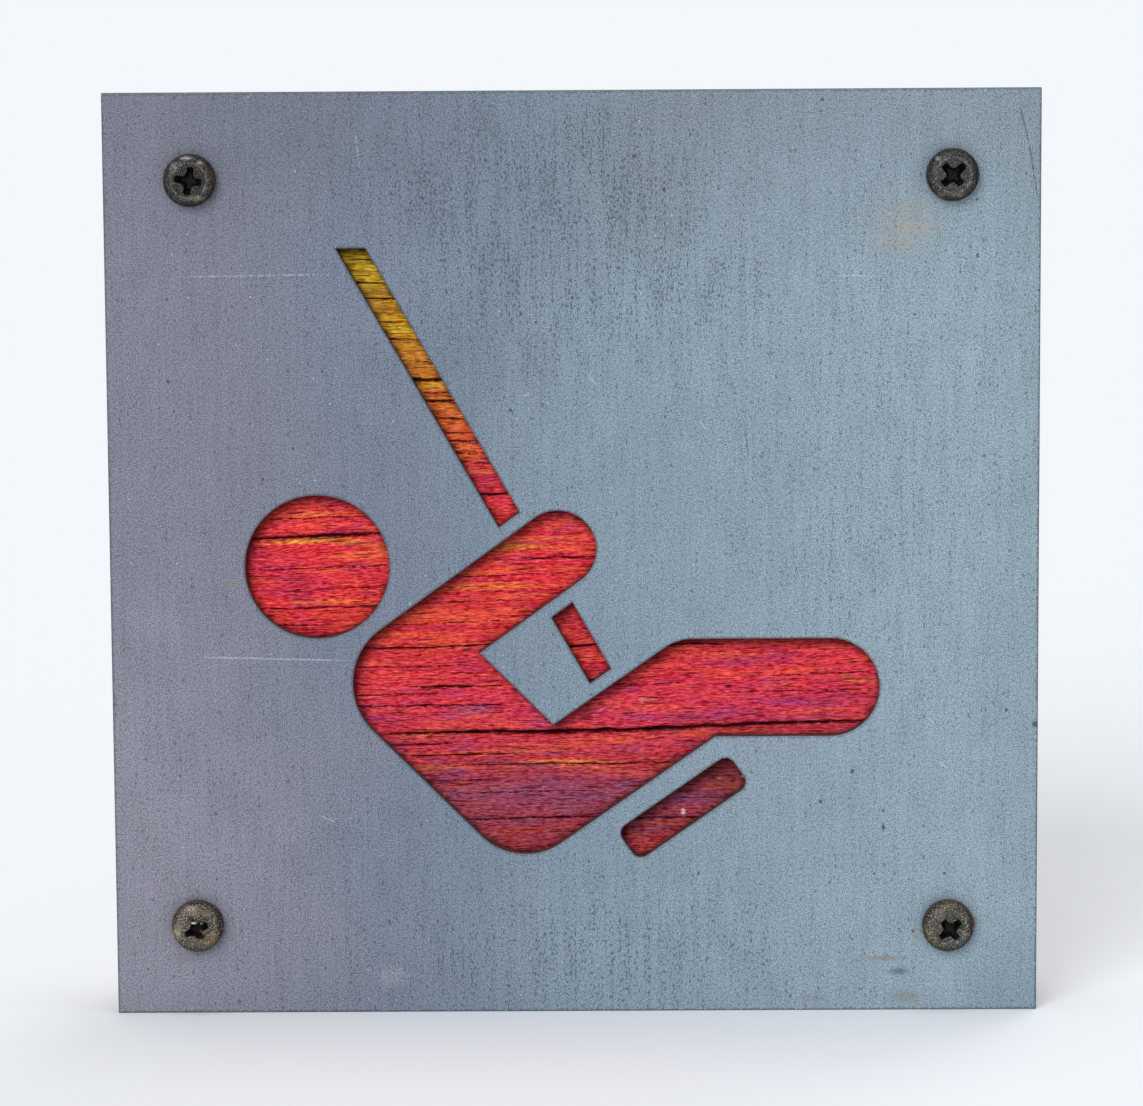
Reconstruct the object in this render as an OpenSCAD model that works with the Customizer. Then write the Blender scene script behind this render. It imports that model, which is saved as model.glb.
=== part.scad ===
// Square sheet-metal sign with a figure on a swing cut through it.
// The sheet is screwed to a painted softwood board, whose face shows through the cut-outs.
// X runs to the right, Z runs up and the front faces -Y. The origin is at the middle of the
// foot of the whole sign, halfway between the screw heads and the back of the board.

/* [Face plate] */
// Width of the sheet
plate_w = 150; // [130:1:300]
// Height of the sheet
plate_h = 150; // [130:1:300]
// Thickness of the sheet
plate_t = 2; // [1:0.5:4]
// Distance of each screw's mark from the two nearest edges of the sheet
screw_inset = 14; // [12:0.5:18]
// How far right of its mark each hole was drilled: top left, top right, bottom left, bottom right
hole_drift_x = [0, -0.2, -0.7, -0.5]; // [-1:0.1:1]
// How far above its mark each hole was drilled, in the same order
hole_drift_z = [0.1, 0.3, 0.7, 0.2]; // [-1:0.1:1]

/* [Figure: body] */
// Hip joint, to the right of the middle of the sheet
hip_x = -6.4; // [-12:0.1:4]
// Hip joint, above the middle of the sheet
hip_z = -39.7; // [-44:0.1:-36]
// Direction of the back, from the hip to the shoulder, in degrees
torso_angle = 135; // [128:0.5:140]
// Length from the hip joint to the shoulder joint
torso_l = 31.4; // [29:0.1:34]
// Width of the torso
torso_w = 21.2; // [18:0.1:22]
// Direction of the arm, from the shoulder to the hand, in degrees
arm_angle = 35.8; // [33:0.1:38]
// Length from the shoulder joint to the middle of the hand
arm_l = 32; // [29:0.1:34]
// Width of the arm
arm_w = 12.5; // [10:0.1:13]
// Direction of the thigh, from the hip to the knee, in degrees
thigh_angle = 34.8; // [32:0.1:38]
// Length from the hip joint to the knee joint
thigh_l = 31.8; // [29:0.1:36]
// Width of the thigh
thigh_w = 16.6; // [14:0.1:17.5]
// Length from the knee joint to the middle of the foot's round end
shin_l = 21.6; // [18:0.1:26]
// Width of the lower leg
shin_w = 16; // [14:0.1:17]
// Radius of the rounded shoulder
shoulder_r = 10.9; // [8:0.1:11.5]
// Radius of the rounded hip
hip_r = 10.1; // [8:0.1:11.5]
// Radius on top of the knee
knee_r = 8; // [4:0.1:12]

/* [Figure: head, ropes and seat] */
// Diameter of the head
head_d = 23.3; // [20:0.1:24]
// Middle of the head, to the right of the middle of the sheet
head_x = -41.5; // [-46:0.1:-40]
// Middle of the head, above the middle of the sheet
head_z = -1.5; // [-3:0.1:6]
// Width of the rope slots
rope_w = 4.1; // [3:0.1:5]
// Slope of the ropes below the horizontal, in degrees
rope_angle = 60.3; // [58:0.1:63]
// Top of the rope, above the middle of the sheet
rope_top = 50; // [40:0.5:56]
// Middle of the rope's top end, to the right of the middle of the sheet
rope_top_x = -35.5; // [-37:0.1:-34]
// Metal left between a rope and the limb that it passes
rope_gap = 2.2; // [1.8:0.1:3]
// Length of the seat slot
seat_l = 22; // [18:0.1:24]
// Width of the seat slot
seat_w = 6.1; // [5:0.1:7]
// Radius of the seat slot's corners
seat_r = 1.7; // [1:0.1:2.4]
// Middle of the seat, along the thigh from the hip joint
seat_along = 18.7; // [16:0.1:20]
// Metal left between the seat and the thigh
seat_gap = 3.6; // [2.5:0.1:5]

/* [Backing board] */
// How far the board stays inside the sheet at the left, the right and the top
board_inset = 5; // [2:0.5:6]
// Thickness of the board
board_t = 18; // [17:0.5:30]
// Radius of the board's planed long edges
arris_r = 1.5; // [0.5:0.1:3]

/* [Face screws] */
// Thread diameter
screw_d = 4.2; // [3.5:0.1:5]
// Core diameter under the thread
screw_core_d = 3; // [2.2:0.1:3.2]
// Length under the head
screw_l = 16; // [12:0.5:17]
// Thread pitch
screw_pitch = 1.4; // [1.1:0.1:1.8]
// Head diameter
pan_d = 8.5; // [7.5:0.1:10]
// Head height
pan_h = 2.6; // [2.2:0.1:3.2]
// Radius that rounds the head's shoulder
pan_r = 1.35; // [0.6:0.05:1.6]
// Plain neck under the head
neck_l = 2.4; // [2:0.1:4]
// Width of the cross recess over its wings
cross_w = 4.7; // [4:0.1:5.4]
// Thickness of a wing of the cross recess
cross_wing = 1.15; // [0.8:0.05:1.4]
// Depth of the cross recess
cross_depth = 2; // [1.4:0.1:2.2]
// How far each screw was left turned, in degrees: top left, top right, bottom left, bottom right
screw_turns = [81, 42, 23, 40]; // [0:1:90]

/* [Hangers] */
// Length of a keyhole hanger plate
hanger_l = 40; // [36:1:50]
// Width of a keyhole hanger plate
hanger_w = 16; // [14:0.5:20]
// Thickness of a keyhole hanger plate
hanger_t = 1.6; // [1.5:0.1:2.5]
// Distance of each hanger plate's middle from the nearer side of the board
hanger_edge = 28; // [24:1:40]
// Distance of the hanger plates' middle below the top of the board
hanger_drop = 30; // [26:1:50]
// Hole that takes the head of a wall screw
entry_d = 9; // [8:0.5:11]
// Slot that the wall screw's shank slides up
slot_w = 4.5; // [3.5:0.5:5]
// Rise from the middle of the entry hole to the end of the slot's straight sides
slot_l = 9; // [7:0.5:11]
// Distance of a hanger plate's screws from its ends
hanger_end = 5; // [4:0.5:6]
// Depth of the pocket in the board for the wall screw's head
pocket_depth = 6; // [4:0.5:10]
// Room round the wall screw's head in the pocket
pocket_room = 1.2; // [0.5:0.1:2]

/* [Hanger screws] */
// Thread diameter
small_d = 3; // [2.5:0.1:3.5]
// Core diameter under the thread
small_core_d = 2.1; // [1.6:0.1:2.3]
// Overall length
small_l = 12; // [10:0.5:13]
// Thread pitch
small_pitch = 1.2; // [1:0.1:1.5]
// Countersunk head diameter
small_head_d = 5.8; // [5.2:0.1:6]
// Plain neck under the head
small_neck_l = 1.6; // [1.5:0.1:2.5]
// Width of the cross recess over its wings
small_cross_w = 3; // [2.4:0.1:3.4]
// Thickness of a wing of the cross recess
small_cross_wing = 0.8; // [0.5:0.05:1]
// Depth of the cross recess
small_cross_depth = 1.2; // [0.8:0.1:1.4]
// How far each screw was left turned, in degrees: left top, left bottom, right top, right bottom
small_turns = [12, 70, 33, 52]; // [0:1:90]

/* [Fits] */
// Room on each side of a screw's thread in the board
thread_room = 0.05; // [0.02:0.01:0.2]
// Room on each side of a screw's thread in a metal plate
hole_room = 0.3; // [0.1:0.05:0.6]
// Room round a hanger plate in its recess
recess_room = 0.2; // [0.1:0.05:0.5]
// Depth that each pilot hole runs on past the screw's point
pilot_spare = 0.5; // [0.2:0.1:1]

/* [Hidden] */
$fn = 96;

// The three planes that everything is set out from, front to back
board_back = (pan_h + plate_t + board_t) / 2;
board_front = board_back - board_t;
plate_front = board_front - plate_t;

board_w = plate_w - 2 * board_inset;
board_h = plate_h - board_inset;
screw_x = plate_w / 2 - screw_inset;
screw_low = screw_inset;
screw_high = plate_h - screw_inset;
hanger_x = board_w / 2 - hanger_edge;
hanger_z = board_h - hanger_drop;
hanger_reach = hanger_l / 2 - hanger_end;
// The keyhole is centred on the hanger plate: its entry hole lies below the middle, its slot above
entry_z = -slot_l / 2;
small_head_h = (small_head_d - small_d) / 2;
// How much thicker a screw's plain neck is than its core, on each side
neck_swell = 0.15;
// How far a cutting shape runs on past the face that it cuts
over = 1;
// Extra radius of an arc, so that it crosses the straight sides that it blends into
blend = 0.001;

// Colours
zinc_grey = [0.50, 0.55, 0.62];
board_red = [0.75, 0.14, 0.13];
dark_steel = [0.27, 0.25, 0.23];
bright_steel = [0.68, 0.67, 0.63];

// Plane geometry: a direction, its left-hand normal, and where two lines meet
function dir(a) = [cos(a), sin(a)];
function side(a) = [-sin(a), cos(a)];
function meet(p, a, q, b) = p + dir(a) * cross(q - p, dir(b)) / cross(dir(a), dir(b));
function unit(v) = v / norm(v);

// Rounding of the corner b between its neighbours a and c: half the corner's angle,
// the middle of the arc, and the two points where the arc meets the straight sides
function half_corner(a, b, c) = acos(unit(a - b) * unit(c - b)) / 2;
function arc_middle(a, b, c, r) =
    b + unit(unit(a - b) + unit(c - b)) * r / sin(half_corner(a, b, c));
function arc_ends(a, b, c, r) =
    let (reach = r / tan(half_corner(a, b, c)))
    [b + unit(a - b) * reach, b + unit(c - b) * reach];

// A closed outline whose outward corners are rounded, each by its own radius, or left sharp at 0
module rounded_outline(points, radii) {
    n = len(points);
    function before(i) = points[(i + n - 1) % n];
    function after(i) = points[(i + 1) % n];
    polygon([
        for (i = [0 : n - 1])
            for (p = radii[i] > 0 ? arc_ends(before(i), points[i], after(i), radii[i]) : [points[i]])
                p
    ]);
    for (i = [0 : n - 1])
        if (radii[i] > 0) {
            middle = arc_middle(before(i), points[i], after(i), radii[i]);
            ends = arc_ends(before(i), points[i], after(i), radii[i]);
            intersection() {
                polygon([middle, ends[0], points[i], ends[1]]);
                translate(middle)
                    circle(r = radii[i] + blend);
            }
        }
}

// An upright bar with round ends, its length measured overall
module round_bar(length, width) {
    square([width, length - width], center = true);
    for (s = [-1, 1])
        translate([0, s * (length - width) / 2])
            circle(r = width / 2 + blend);
}

// The figure's joints, measured from the middle of the sheet
hip = [hip_x, hip_z];
shoulder = hip + torso_l * dir(torso_angle);
hand = shoulder + arm_l * dir(arm_angle);
knee = hip + thigh_l * dir(thigh_angle);
foot = knee + [shin_l, 0];

// One point on each long side of each limb
arm_over = shoulder + side(arm_angle) * arm_w / 2;
arm_under = shoulder - side(arm_angle) * arm_w / 2;
torso_back = hip + side(torso_angle) * torso_w / 2;
torso_front = hip - side(torso_angle) * torso_w / 2;
thigh_over = hip + side(thigh_angle) * thigh_w / 2;
thigh_under = hip - side(thigh_angle) * thigh_w / 2;
shin_over = knee + [0, shin_w / 2];
shin_under = knee - [0, shin_w / 2];

// Arm, torso and leg are one opening. The hand and the foot end in half circles.
module body_cutout() {
    rounded_outline(
        [
            meet(torso_back, torso_angle, arm_over, arm_angle),
            meet(torso_back, torso_angle, thigh_under, thigh_angle),
            meet(thigh_under, thigh_angle, shin_under, 0),
            foot - [0, shin_w / 2],
            foot + [0, shin_w / 2],
            meet(thigh_over, thigh_angle, shin_over, 0),
            meet(thigh_over, thigh_angle, torso_front, torso_angle),
            meet(torso_front, torso_angle, arm_under, arm_angle),
            hand - side(arm_angle) * arm_w / 2,
            hand + side(arm_angle) * arm_w / 2,
        ],
        [shoulder_r, hip_r, 0, 0, 0, knee_r, 0, 0, 0, 0]
    );
    translate(hand)
        circle(r = arm_w / 2 + blend);
    translate(foot)
        circle(r = shin_w / 2 + blend);
}

// A long band along the line through p, with its own width on the line's left and on its right
module band(p, a, left, right) {
    reach = plate_w + plate_h;
    translate(p)
        rotate(a)
            translate([-reach, -right])
                square([2 * reach, left + right]);
}

// One rope, cut level at its top, that stops short of the arm on both sides and of the thigh
module rope_cutouts() {
    difference() {
        band([rope_top_x, rope_top], -rope_angle, rope_w / 2, rope_w / 2);
        // Above its top end
        band([0, rope_top], 0, plate_h, 0);
        // Across the arm, and below the top of the thigh
        band(shoulder, arm_angle, arm_w / 2 + rope_gap, arm_w / 2 + rope_gap);
        band(hip, thigh_angle, thigh_w / 2 + rope_gap, plate_h);
    }
}

// The seat lies along the thigh, below it
module seat_cutout() {
    drop = thigh_w / 2 + seat_gap + seat_w / 2;
    x = seat_l / 2;
    z = seat_w / 2;
    translate(hip + seat_along * dir(thigh_angle) - drop * side(thigh_angle))
        rotate(thigh_angle)
            rounded_outline([[-x, -z], [x, -z], [x, z], [-x, z]], [seat_r, seat_r, seat_r, seat_r]);
}

module head_cutout() {
    translate([head_x, head_z])
        circle(d = head_d);
}

// Puts a flat shape drawn in x and z upright, with its front on the plane y = front
module upright(front, thickness) {
    translate([0, front + thickness, 0])
        rotate([90, 0, 0])
            linear_extrude(thickness)
                children();
}

// The marks for the face screws, in the order of their drifts and turns, and where they ended up
screw_marks = [
    [-screw_x, screw_high],
    [screw_x, screw_high],
    [-screw_x, screw_low],
    [screw_x, screw_low],
];
screw_places = [for (i = [0 : 3]) screw_marks[i] + [hole_drift_x[i], hole_drift_z[i]]];

module face_plate() {
    color(zinc_grey)
        upright(plate_front, plate_t)
            difference() {
                translate([-plate_w / 2, 0])
                    square([plate_w, plate_h]);
                translate([0, plate_h / 2]) {
                    head_cutout();
                    body_cutout();
                    rope_cutouts();
                    seat_cutout();
                }
                for (place = screw_places)
                    translate(place)
                        circle(d = screw_d + 2 * hole_room);
            }
}

// Two hangers, left then right, each with an upper and a lower screw
hanger_places = [[-hanger_x, hanger_z], [hanger_x, hanger_z]];

module hanger_outline(room) {
    round_bar(hanger_l + 2 * room, hanger_w + 2 * room);
}

// The keyhole: a round entry and a slot with a round top above it, each with its own width
module keyhole(entry, slot) {
    translate([0, entry_z])
        circle(d = entry);
    translate([0, entry_z + slot_l / 2])
        round_bar(slot_l + slot, slot);
}

// The planed board lies with its grain along x, so its two long edges are rounded
module board_blank() {
    y = board_t / 2;
    z = board_h;
    translate([-board_w / 2, board_front + y, 0])
        rotate([90, 0, 90])
            linear_extrude(board_w)
                rounded_outline([[-y, 0], [y, 0], [y, z], [-y, z]], [arris_r, arris_r, arris_r, arris_r]);
}

module backing_board() {
    pocket_w = entry_d + 2 * pocket_room;
    screw_pilot_l = screw_l - plate_t + pilot_spare;
    small_pilot_l = small_l + pilot_spare;
    color(board_red)
        difference() {
            board_blank();
            for (place = screw_places)
                translate([place[0], board_front - over, place[1]])
                    rotate([-90, 0, 0])
                        cylinder(d = screw_d + 2 * thread_room, h = over + screw_pilot_l);
            for (place = hanger_places)
                translate([place[0], 0, place[1]]) {
                    upright(board_back - hanger_t, hanger_t + over)
                        hanger_outline(recess_room);
                    upright(board_back - hanger_t - pocket_depth, pocket_depth + over)
                        keyhole(pocket_w, pocket_w);
                    for (s = [-1, 1])
                        translate([0, board_back, s * hanger_reach])
                            rotate([90, 0, 0])
                                cylinder(d = small_d + 2 * thread_room, h = small_pilot_l);
                }
        }
}

// A screw's threaded part as one closed skin. A spiral of three points a step, the foot of the
// thread's lower flank, its crest and the foot of its upper flank, climbs from the gimlet point to
// the neck, and each turn is stitched to the one below it. The head's underside is at z = 0, and
// h is a height above the point.
module thread(core_r, crest_r, pitch, length, neck) {
    sides = 16;
    point_l = 3 * pitch;
    // Where the flanks start and meet, as shares of the pitch
    foot_low = 0.25;
    crest = 0.5;
    foot_high = 0.75;
    // Thickness at the very point, as a share of the full thickness
    blunt = 0.08;
    steps = floor((length - pitch) / pitch * sides);
    function sharpness(h) = min(1, blunt + (1 - blunt) * h / point_l);
    function fade(h) = max(0, min(1, h / pitch, (length - neck - h) / pitch));
    function core_at(h) = core_r * sharpness(h);
    function crest_at(h) = core_at(h) + (crest_r - core_r) * sharpness(h) * fade(h);
    function at(r, i, h) = [r * cos(360 * i / sides), r * sin(360 * i / sides), h - length];
    function climb(i, share) = pitch * (i / sides + share);
    points = [
        for (i = [0 : steps])
            for (k = [0 : 2])
                let (h = climb(i, [foot_low, crest, foot_high][k]))
                at(k == 1 ? crest_at(h) : core_at(h), i, h),
        [0, 0, -length],
        [0, 0, 0],
    ];
    tip = 3 * (steps + 1);
    top = tip + 1;
    function a(i) = 3 * i;
    function b(i) = 3 * i + 1;
    function c(i) = 3 * i + 2;
    function strip(p, q, r, s) = [[p, q, r], [p, r, s]];
    faces = [
        for (i = [0 : steps - 1])
            for (f = concat(strip(a(i), b(i), b(i + 1), a(i + 1)), strip(b(i), c(i), c(i + 1), b(i + 1))))
                f,
        for (i = [0 : steps - sides - 1])
            for (f = strip(c(i), a(i + sides), a(i + sides + 1), c(i + 1)))
                f,
        for (i = [0 : sides - 1])
            [tip, a(i), a(i + 1)],
        [tip, a(sides), c(0)],
        [tip, c(0), b(0)],
        [tip, b(0), a(0)],
        for (i = [steps - sides : steps - 1])
            [top, c(i + 1), c(i)],
        [top, c(steps - sides), a(steps)],
        [top, a(steps), b(steps)],
        [top, b(steps), c(steps)],
    ];
    polyhedron(points, faces, convexity = 4);
}

// Cross recess: four wings that narrow towards the bottom, sunk from the plane z = 0
module cross_recess(across, wing, depth) {
    intersection() {
        translate([0, 0, -depth])
            linear_extrude(depth + over)
                for (turn = [0, 90])
                    rotate(turn)
                        square([across, wing], center = true);
        union() {
            translate([0, 0, -depth])
                cylinder(d1 = across / 2, d2 = across, h = depth);
            cylinder(d = across, h = over);
        }
    }
}

// Pan head screw along z, its head's underside at z = 0
module pan_screw() {
    neck_r = screw_core_d / 2 + neck_swell;
    difference() {
        union() {
            rotate_extrude() {
                square([pan_d / 2, pan_h - pan_r]);
                square([pan_d / 2 - pan_r, pan_h]);
                translate([pan_d / 2 - pan_r, pan_h - pan_r])
                    intersection() {
                        circle(r = pan_r);
                        square(pan_r);
                    }
            }
            translate([0, 0, -neck_l])
                cylinder(r = neck_r, h = neck_l + pan_h / 2);
            thread(screw_core_d / 2, screw_d / 2, screw_pitch, screw_l, neck_l);
        }
        translate([0, 0, pan_h])
            cross_recess(cross_w, cross_wing, cross_depth);
    }
}

// Countersunk screw along z, the top of its head at z = 0
module countersunk_screw() {
    neck_r = small_core_d / 2 + neck_swell;
    difference() {
        union() {
            translate([0, 0, -small_head_h])
                cylinder(d1 = small_d, d2 = small_head_d, h = small_head_h);
            translate([0, 0, -small_head_h - small_neck_l])
                cylinder(r = neck_r, h = small_neck_l + small_head_h / 2);
            translate([0, 0, -small_head_h])
                thread(small_core_d / 2, small_d / 2, small_pitch, small_l - small_head_h, small_neck_l);
        }
        cross_recess(small_cross_w, small_cross_wing, small_cross_depth);
    }
}

// One face screw, driven through the sheet from the front and left turned
module face_screw(i) {
    color(dark_steel)
        translate([screw_places[i][0], plate_front, screw_places[i][1]])
            rotate([90, 0, 0])
                rotate(screw_turns[i])
                    pan_screw();
}

module screw_top_left() {
    face_screw(0);
}

module screw_top_right() {
    face_screw(1);
}

module screw_bottom_left() {
    face_screw(2);
}

module screw_bottom_right() {
    face_screw(3);
}

// The cone that a countersunk head drops into, with its mouth at z = 0
module countersink() {
    mouth = small_head_d + 2 * thread_room;
    translate([0, 0, -small_head_h])
        cylinder(d1 = small_d + 2 * thread_room, d2 = mouth, h = small_head_h);
    cylinder(d = mouth, h = over);
}

// One keyhole hanger plate, flush in the board's back
module hanger_plate(place) {
    color(bright_steel)
        translate([place[0], 0, place[1]])
            difference() {
                upright(board_back - hanger_t, hanger_t)
                    difference() {
                        hanger_outline(0);
                        keyhole(entry_d, slot_w);
                    }
                for (s = [-1, 1])
                    translate([0, board_back, s * hanger_reach])
                        rotate([-90, 0, 0]) {
                            translate([0, 0, -hanger_t - over])
                                cylinder(d = small_d + 2 * hole_room, h = hanger_t + 2 * over);
                            countersink();
                        }
            }
}

module hanger_plate_left() {
    hanger_plate(hanger_places[0]);
}

module hanger_plate_right() {
    hanger_plate(hanger_places[1]);
}

// One hanger screw, driven from the back; s is 1 for the upper and -1 for the lower screw
module hanger_screw(place, s, turn) {
    color(bright_steel)
        translate([place[0], board_back, place[1] + s * hanger_reach])
            rotate([-90, 0, 0])
                rotate(turn)
                    countersunk_screw();
}

module hanger_screw_left_top() {
    hanger_screw(hanger_places[0], 1, small_turns[0]);
}

module hanger_screw_left_bottom() {
    hanger_screw(hanger_places[0], -1, small_turns[1]);
}

module hanger_screw_right_top() {
    hanger_screw(hanger_places[1], 1, small_turns[2]);
}

module hanger_screw_right_bottom() {
    hanger_screw(hanger_places[1], -1, small_turns[3]);
}

face_plate();
backing_board();
screw_top_left();
screw_top_right();
screw_bottom_left();
screw_bottom_right();
hanger_plate_left();
hanger_plate_right();
hanger_screw_left_top();
hanger_screw_left_bottom();
hanger_screw_right_top();
hanger_screw_right_bottom();
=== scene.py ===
# %% [markdown]
# # A sheet-metal sign with a swing figure cut through it
# The sign is a square of weathered zinc-coated sheet. A figure on a swing is cut right through it, and
# four cross-recess screws hold it to a softwood board whose painted, cracked face fills the figure with
# colour. Every size and place comes from the measured parts, so this lesson starts by loading them.

import math

import bmesh
import bpy
import numpy as np
from mathutils import Matrix, Vector
from mathutils.geometry import delaunay_2d_cdt


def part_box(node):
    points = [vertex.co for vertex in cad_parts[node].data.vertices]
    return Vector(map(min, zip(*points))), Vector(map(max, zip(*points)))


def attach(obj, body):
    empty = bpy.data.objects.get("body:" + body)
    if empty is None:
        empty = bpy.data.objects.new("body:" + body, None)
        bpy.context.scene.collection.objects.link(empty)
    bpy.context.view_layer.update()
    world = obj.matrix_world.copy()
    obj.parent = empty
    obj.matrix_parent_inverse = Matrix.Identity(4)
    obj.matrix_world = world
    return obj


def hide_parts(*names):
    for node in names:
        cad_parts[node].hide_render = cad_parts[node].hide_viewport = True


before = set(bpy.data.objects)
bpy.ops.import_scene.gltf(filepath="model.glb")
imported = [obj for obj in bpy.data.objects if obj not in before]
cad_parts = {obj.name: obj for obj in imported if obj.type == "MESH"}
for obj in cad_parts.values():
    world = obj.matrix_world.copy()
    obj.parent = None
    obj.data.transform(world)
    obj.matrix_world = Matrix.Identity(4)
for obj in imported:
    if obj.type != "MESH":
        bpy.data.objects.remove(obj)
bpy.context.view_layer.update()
MM = 0.001

# %% [markdown]
# ## The camera
# The photograph was taken with a long lens from a little above the sign. The place, the three angles and
# the focal length were found by matching the sheet's corners and the screws. A view like this could be
# framed by hand, but a camera at the place from which the photograph was taken gives the right parallax
# too: the screw heads hide the sheet just as they do in the photograph.

# %% Set the camera
CAMERA_PLACE = Vector((0.00725, -0.8025, 0.18539))
CAMERA_TURN = math.radians(-0.552)
CAMERA_DIP = math.radians(7.874)
CAMERA_ROLL = math.radians(-0.381)
SENSOR_W_MM = 36.0
FOCAL_MM = 156.38

ahead = Vector((
    math.sin(CAMERA_TURN) * math.cos(CAMERA_DIP),
    math.cos(CAMERA_TURN) * math.cos(CAMERA_DIP),
    -math.sin(CAMERA_DIP),
))
level_right = ahead.cross(Vector((0, 0, 1))).normalized()
level_up = level_right.cross(ahead)
camera_right = level_right * math.cos(CAMERA_ROLL) + level_up * math.sin(CAMERA_ROLL)
camera_up = level_up * math.cos(CAMERA_ROLL) - level_right * math.sin(CAMERA_ROLL)


def placed(name, data):
    """A new object, linked into the scene."""
    made = bpy.data.objects.new(name, data)
    bpy.context.scene.collection.objects.link(made)
    return made


camera = placed("camera", bpy.data.cameras.new("camera"))
camera.data.sensor_fit = "HORIZONTAL"
camera.data.sensor_width = SENSOR_W_MM
camera.data.lens = FOCAL_MM
turn = Matrix((camera_right, camera_up, -ahead)).transposed()
camera.matrix_world = Matrix.Translation(CAMERA_PLACE) @ turn.to_4x4()
bpy.context.scene.camera = camera
print("camera looks along", [round(v, 4) for v in ahead])

# %% [markdown]
# ## Small helpers for node trees
# Materials and Geometry Nodes are both trees of nodes, so the same few helpers build them. Each node could
# be added with four or five calls, and the trees below would then be hundreds of lines long. put() adds a
# node and sets or links its inputs in one call, and the others wrap the nodes that are used most.

# %% Helpers that add and link nodes
def put(tree, kind, inputs=None, **settings):
    """Adds a node, sets its properties, and sets or links its inputs, which are named or numbered."""
    node = tree.nodes.new(kind)
    count = len(tree.nodes)
    node.location = (count % 12 * 190, -(count // 12) * 260)
    for name, value in settings.items():
        setattr(node, name, value)
    for key, value in (inputs or {}).items():
        if isinstance(value, bpy.types.NodeSocket):
            tree.links.new(value, node.inputs[key])
        else:
            node.inputs[key].default_value = value
    return node


def calc(tree, operation, *values, clamp=False):
    """One Math node; the values are numbers or sockets."""
    node = put(tree, "ShaderNodeMath", dict(enumerate(values)), operation=operation, use_clamp=clamp)
    return node.outputs[0]


def product(tree, one, other):
    return calc(tree, "MULTIPLY", one, other)


def vector_calc(tree, operation, *values):
    """One Vector Math node. Lengths, distances and dot products come as a number, the rest as a vector."""
    node = put(tree, "ShaderNodeVectorMath", dict(enumerate(values)), operation=operation)
    return node.outputs["Value" if operation in ("LENGTH", "DISTANCE", "DOT_PRODUCT") else "Vector"]


def times(tree, vector, factors):
    """A vector with each of its parts multiplied."""
    return vector_calc(tree, "MULTIPLY", vector, factors)


def plus(tree, vector, other):
    return vector_calc(tree, "ADD", vector, other)


def in_mm(tree, place):
    """A place in metres, as Blender gives it, in millimetres."""
    return times(tree, place, (1 / MM,) * 3)


def split(tree, vector):
    """The x, y and z of a vector, as sockets."""
    return put(tree, "ShaderNodeSeparateXYZ", {0: vector}).outputs


def join(tree, x, y, z):
    return put(tree, "ShaderNodeCombineXYZ", {0: x, 1: y, 2: z}).outputs[0]


def triple(tree, value):
    """A vector with the same value in all three parts."""
    return join(tree, value, value, value)


def swung(tree, base, wave, strength):
    """A value moved up and down by a noise that lies around 0.5."""
    return calc(tree, "MULTIPLY_ADD", calc(tree, "SUBTRACT", wave, 0.5), strength, base)


def fade(tree, value, start, end, to_min=0.0, to_max=1.0):
    """to_min where the value is at start, to_max where it is at end, with a smooth change between."""
    inputs = {"Value": value, "From Min": start, "From Max": end, "To Min": to_min, "To Max": to_max}
    return put(tree, "ShaderNodeMapRange", inputs, interpolation_type="SMOOTHSTEP").outputs[0]


def noise(tree, vector, scale, detail=2.0, roughness=0.5, dimensions="3D"):
    """Soft noise around 0.5. On a flat face two dimensions are enough, and render faster."""
    inputs = {"Vector": vector, "Scale": scale, "Detail": detail, "Roughness": roughness}
    return put(tree, "ShaderNodeTexNoise", inputs, noise_dimensions=dimensions).outputs[0]


# %% [markdown]
# Colours are written as they look on screen, in six hex digits, and turned into the linear values that
# Blender's sockets hold. A colour ramp and a colour mix finish the set of helpers. Effects that several
# materials share are node groups, and group() declares one with its named sockets.

# %% Helpers for colours and shared groups
def colour(digits):
    """A screen colour, such as 8fa3b0, as the linear colour that a socket holds."""
    parts = [int(digits[i : i + 2], 16) / 255 for i in (0, 2, 4)]
    linear = [c / 12.92 if c <= 0.04045 else ((c + 0.055) / 1.055) ** 2.4 for c in parts]
    return (*linear, 1.0)


def ramp(tree, value, stops):
    """A colour ramp through (place, hex colour) stops."""
    node = put(tree, "ShaderNodeValToRGB", {"Fac": value})
    elements = node.color_ramp.elements
    while len(elements) < len(stops):
        elements.new(0.5)
    for element, (place, digits) in zip(elements, stops):
        element.position = place
        element.color = colour(digits)
    return node.outputs["Color"]


def mix(tree, factor, a, b, kind="MIX"):
    """Two colours mixed; a and b are hex digits or sockets."""
    a, b = (colour(c) if isinstance(c, str) else c for c in (a, b))
    node = put(tree, "ShaderNodeMix", {0: factor, 6: a, 7: b}, data_type="RGBA", blend_type=kind)
    return node.outputs[2]


SOCKET_KINDS = {float: "Float", int: "Int", bool: "Bool", tuple: "Vector"}


def group(name, tree_kind, inputs, outputs):
    """A new node group. Returns its tree, what it is given, and what it gives.

    An input is written as its default value, or as the kind of a socket that has none."""
    tree = bpy.data.node_groups.new(name, tree_kind)
    for label, value in inputs.items():
        kind = value if isinstance(value, str) else SOCKET_KINDS[type(value)]
        socket = tree.interface.new_socket(label, in_out="INPUT", socket_type="NodeSocket" + kind)
        if kind is not value:
            socket.default_value = value
    for label, kind in outputs.items():
        tree.interface.new_socket(label, in_out="OUTPUT", socket_type="NodeSocket" + kind)
    given = tree.nodes.new("NodeGroupInput").outputs
    gives = tree.nodes.new("NodeGroupOutput").inputs
    return tree, given, gives


def use(tree, shared, inputs):
    """Places a shared group in a material and returns its outputs."""
    return put(tree, "ShaderNodeGroup", inputs, node_tree=shared).outputs


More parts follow.
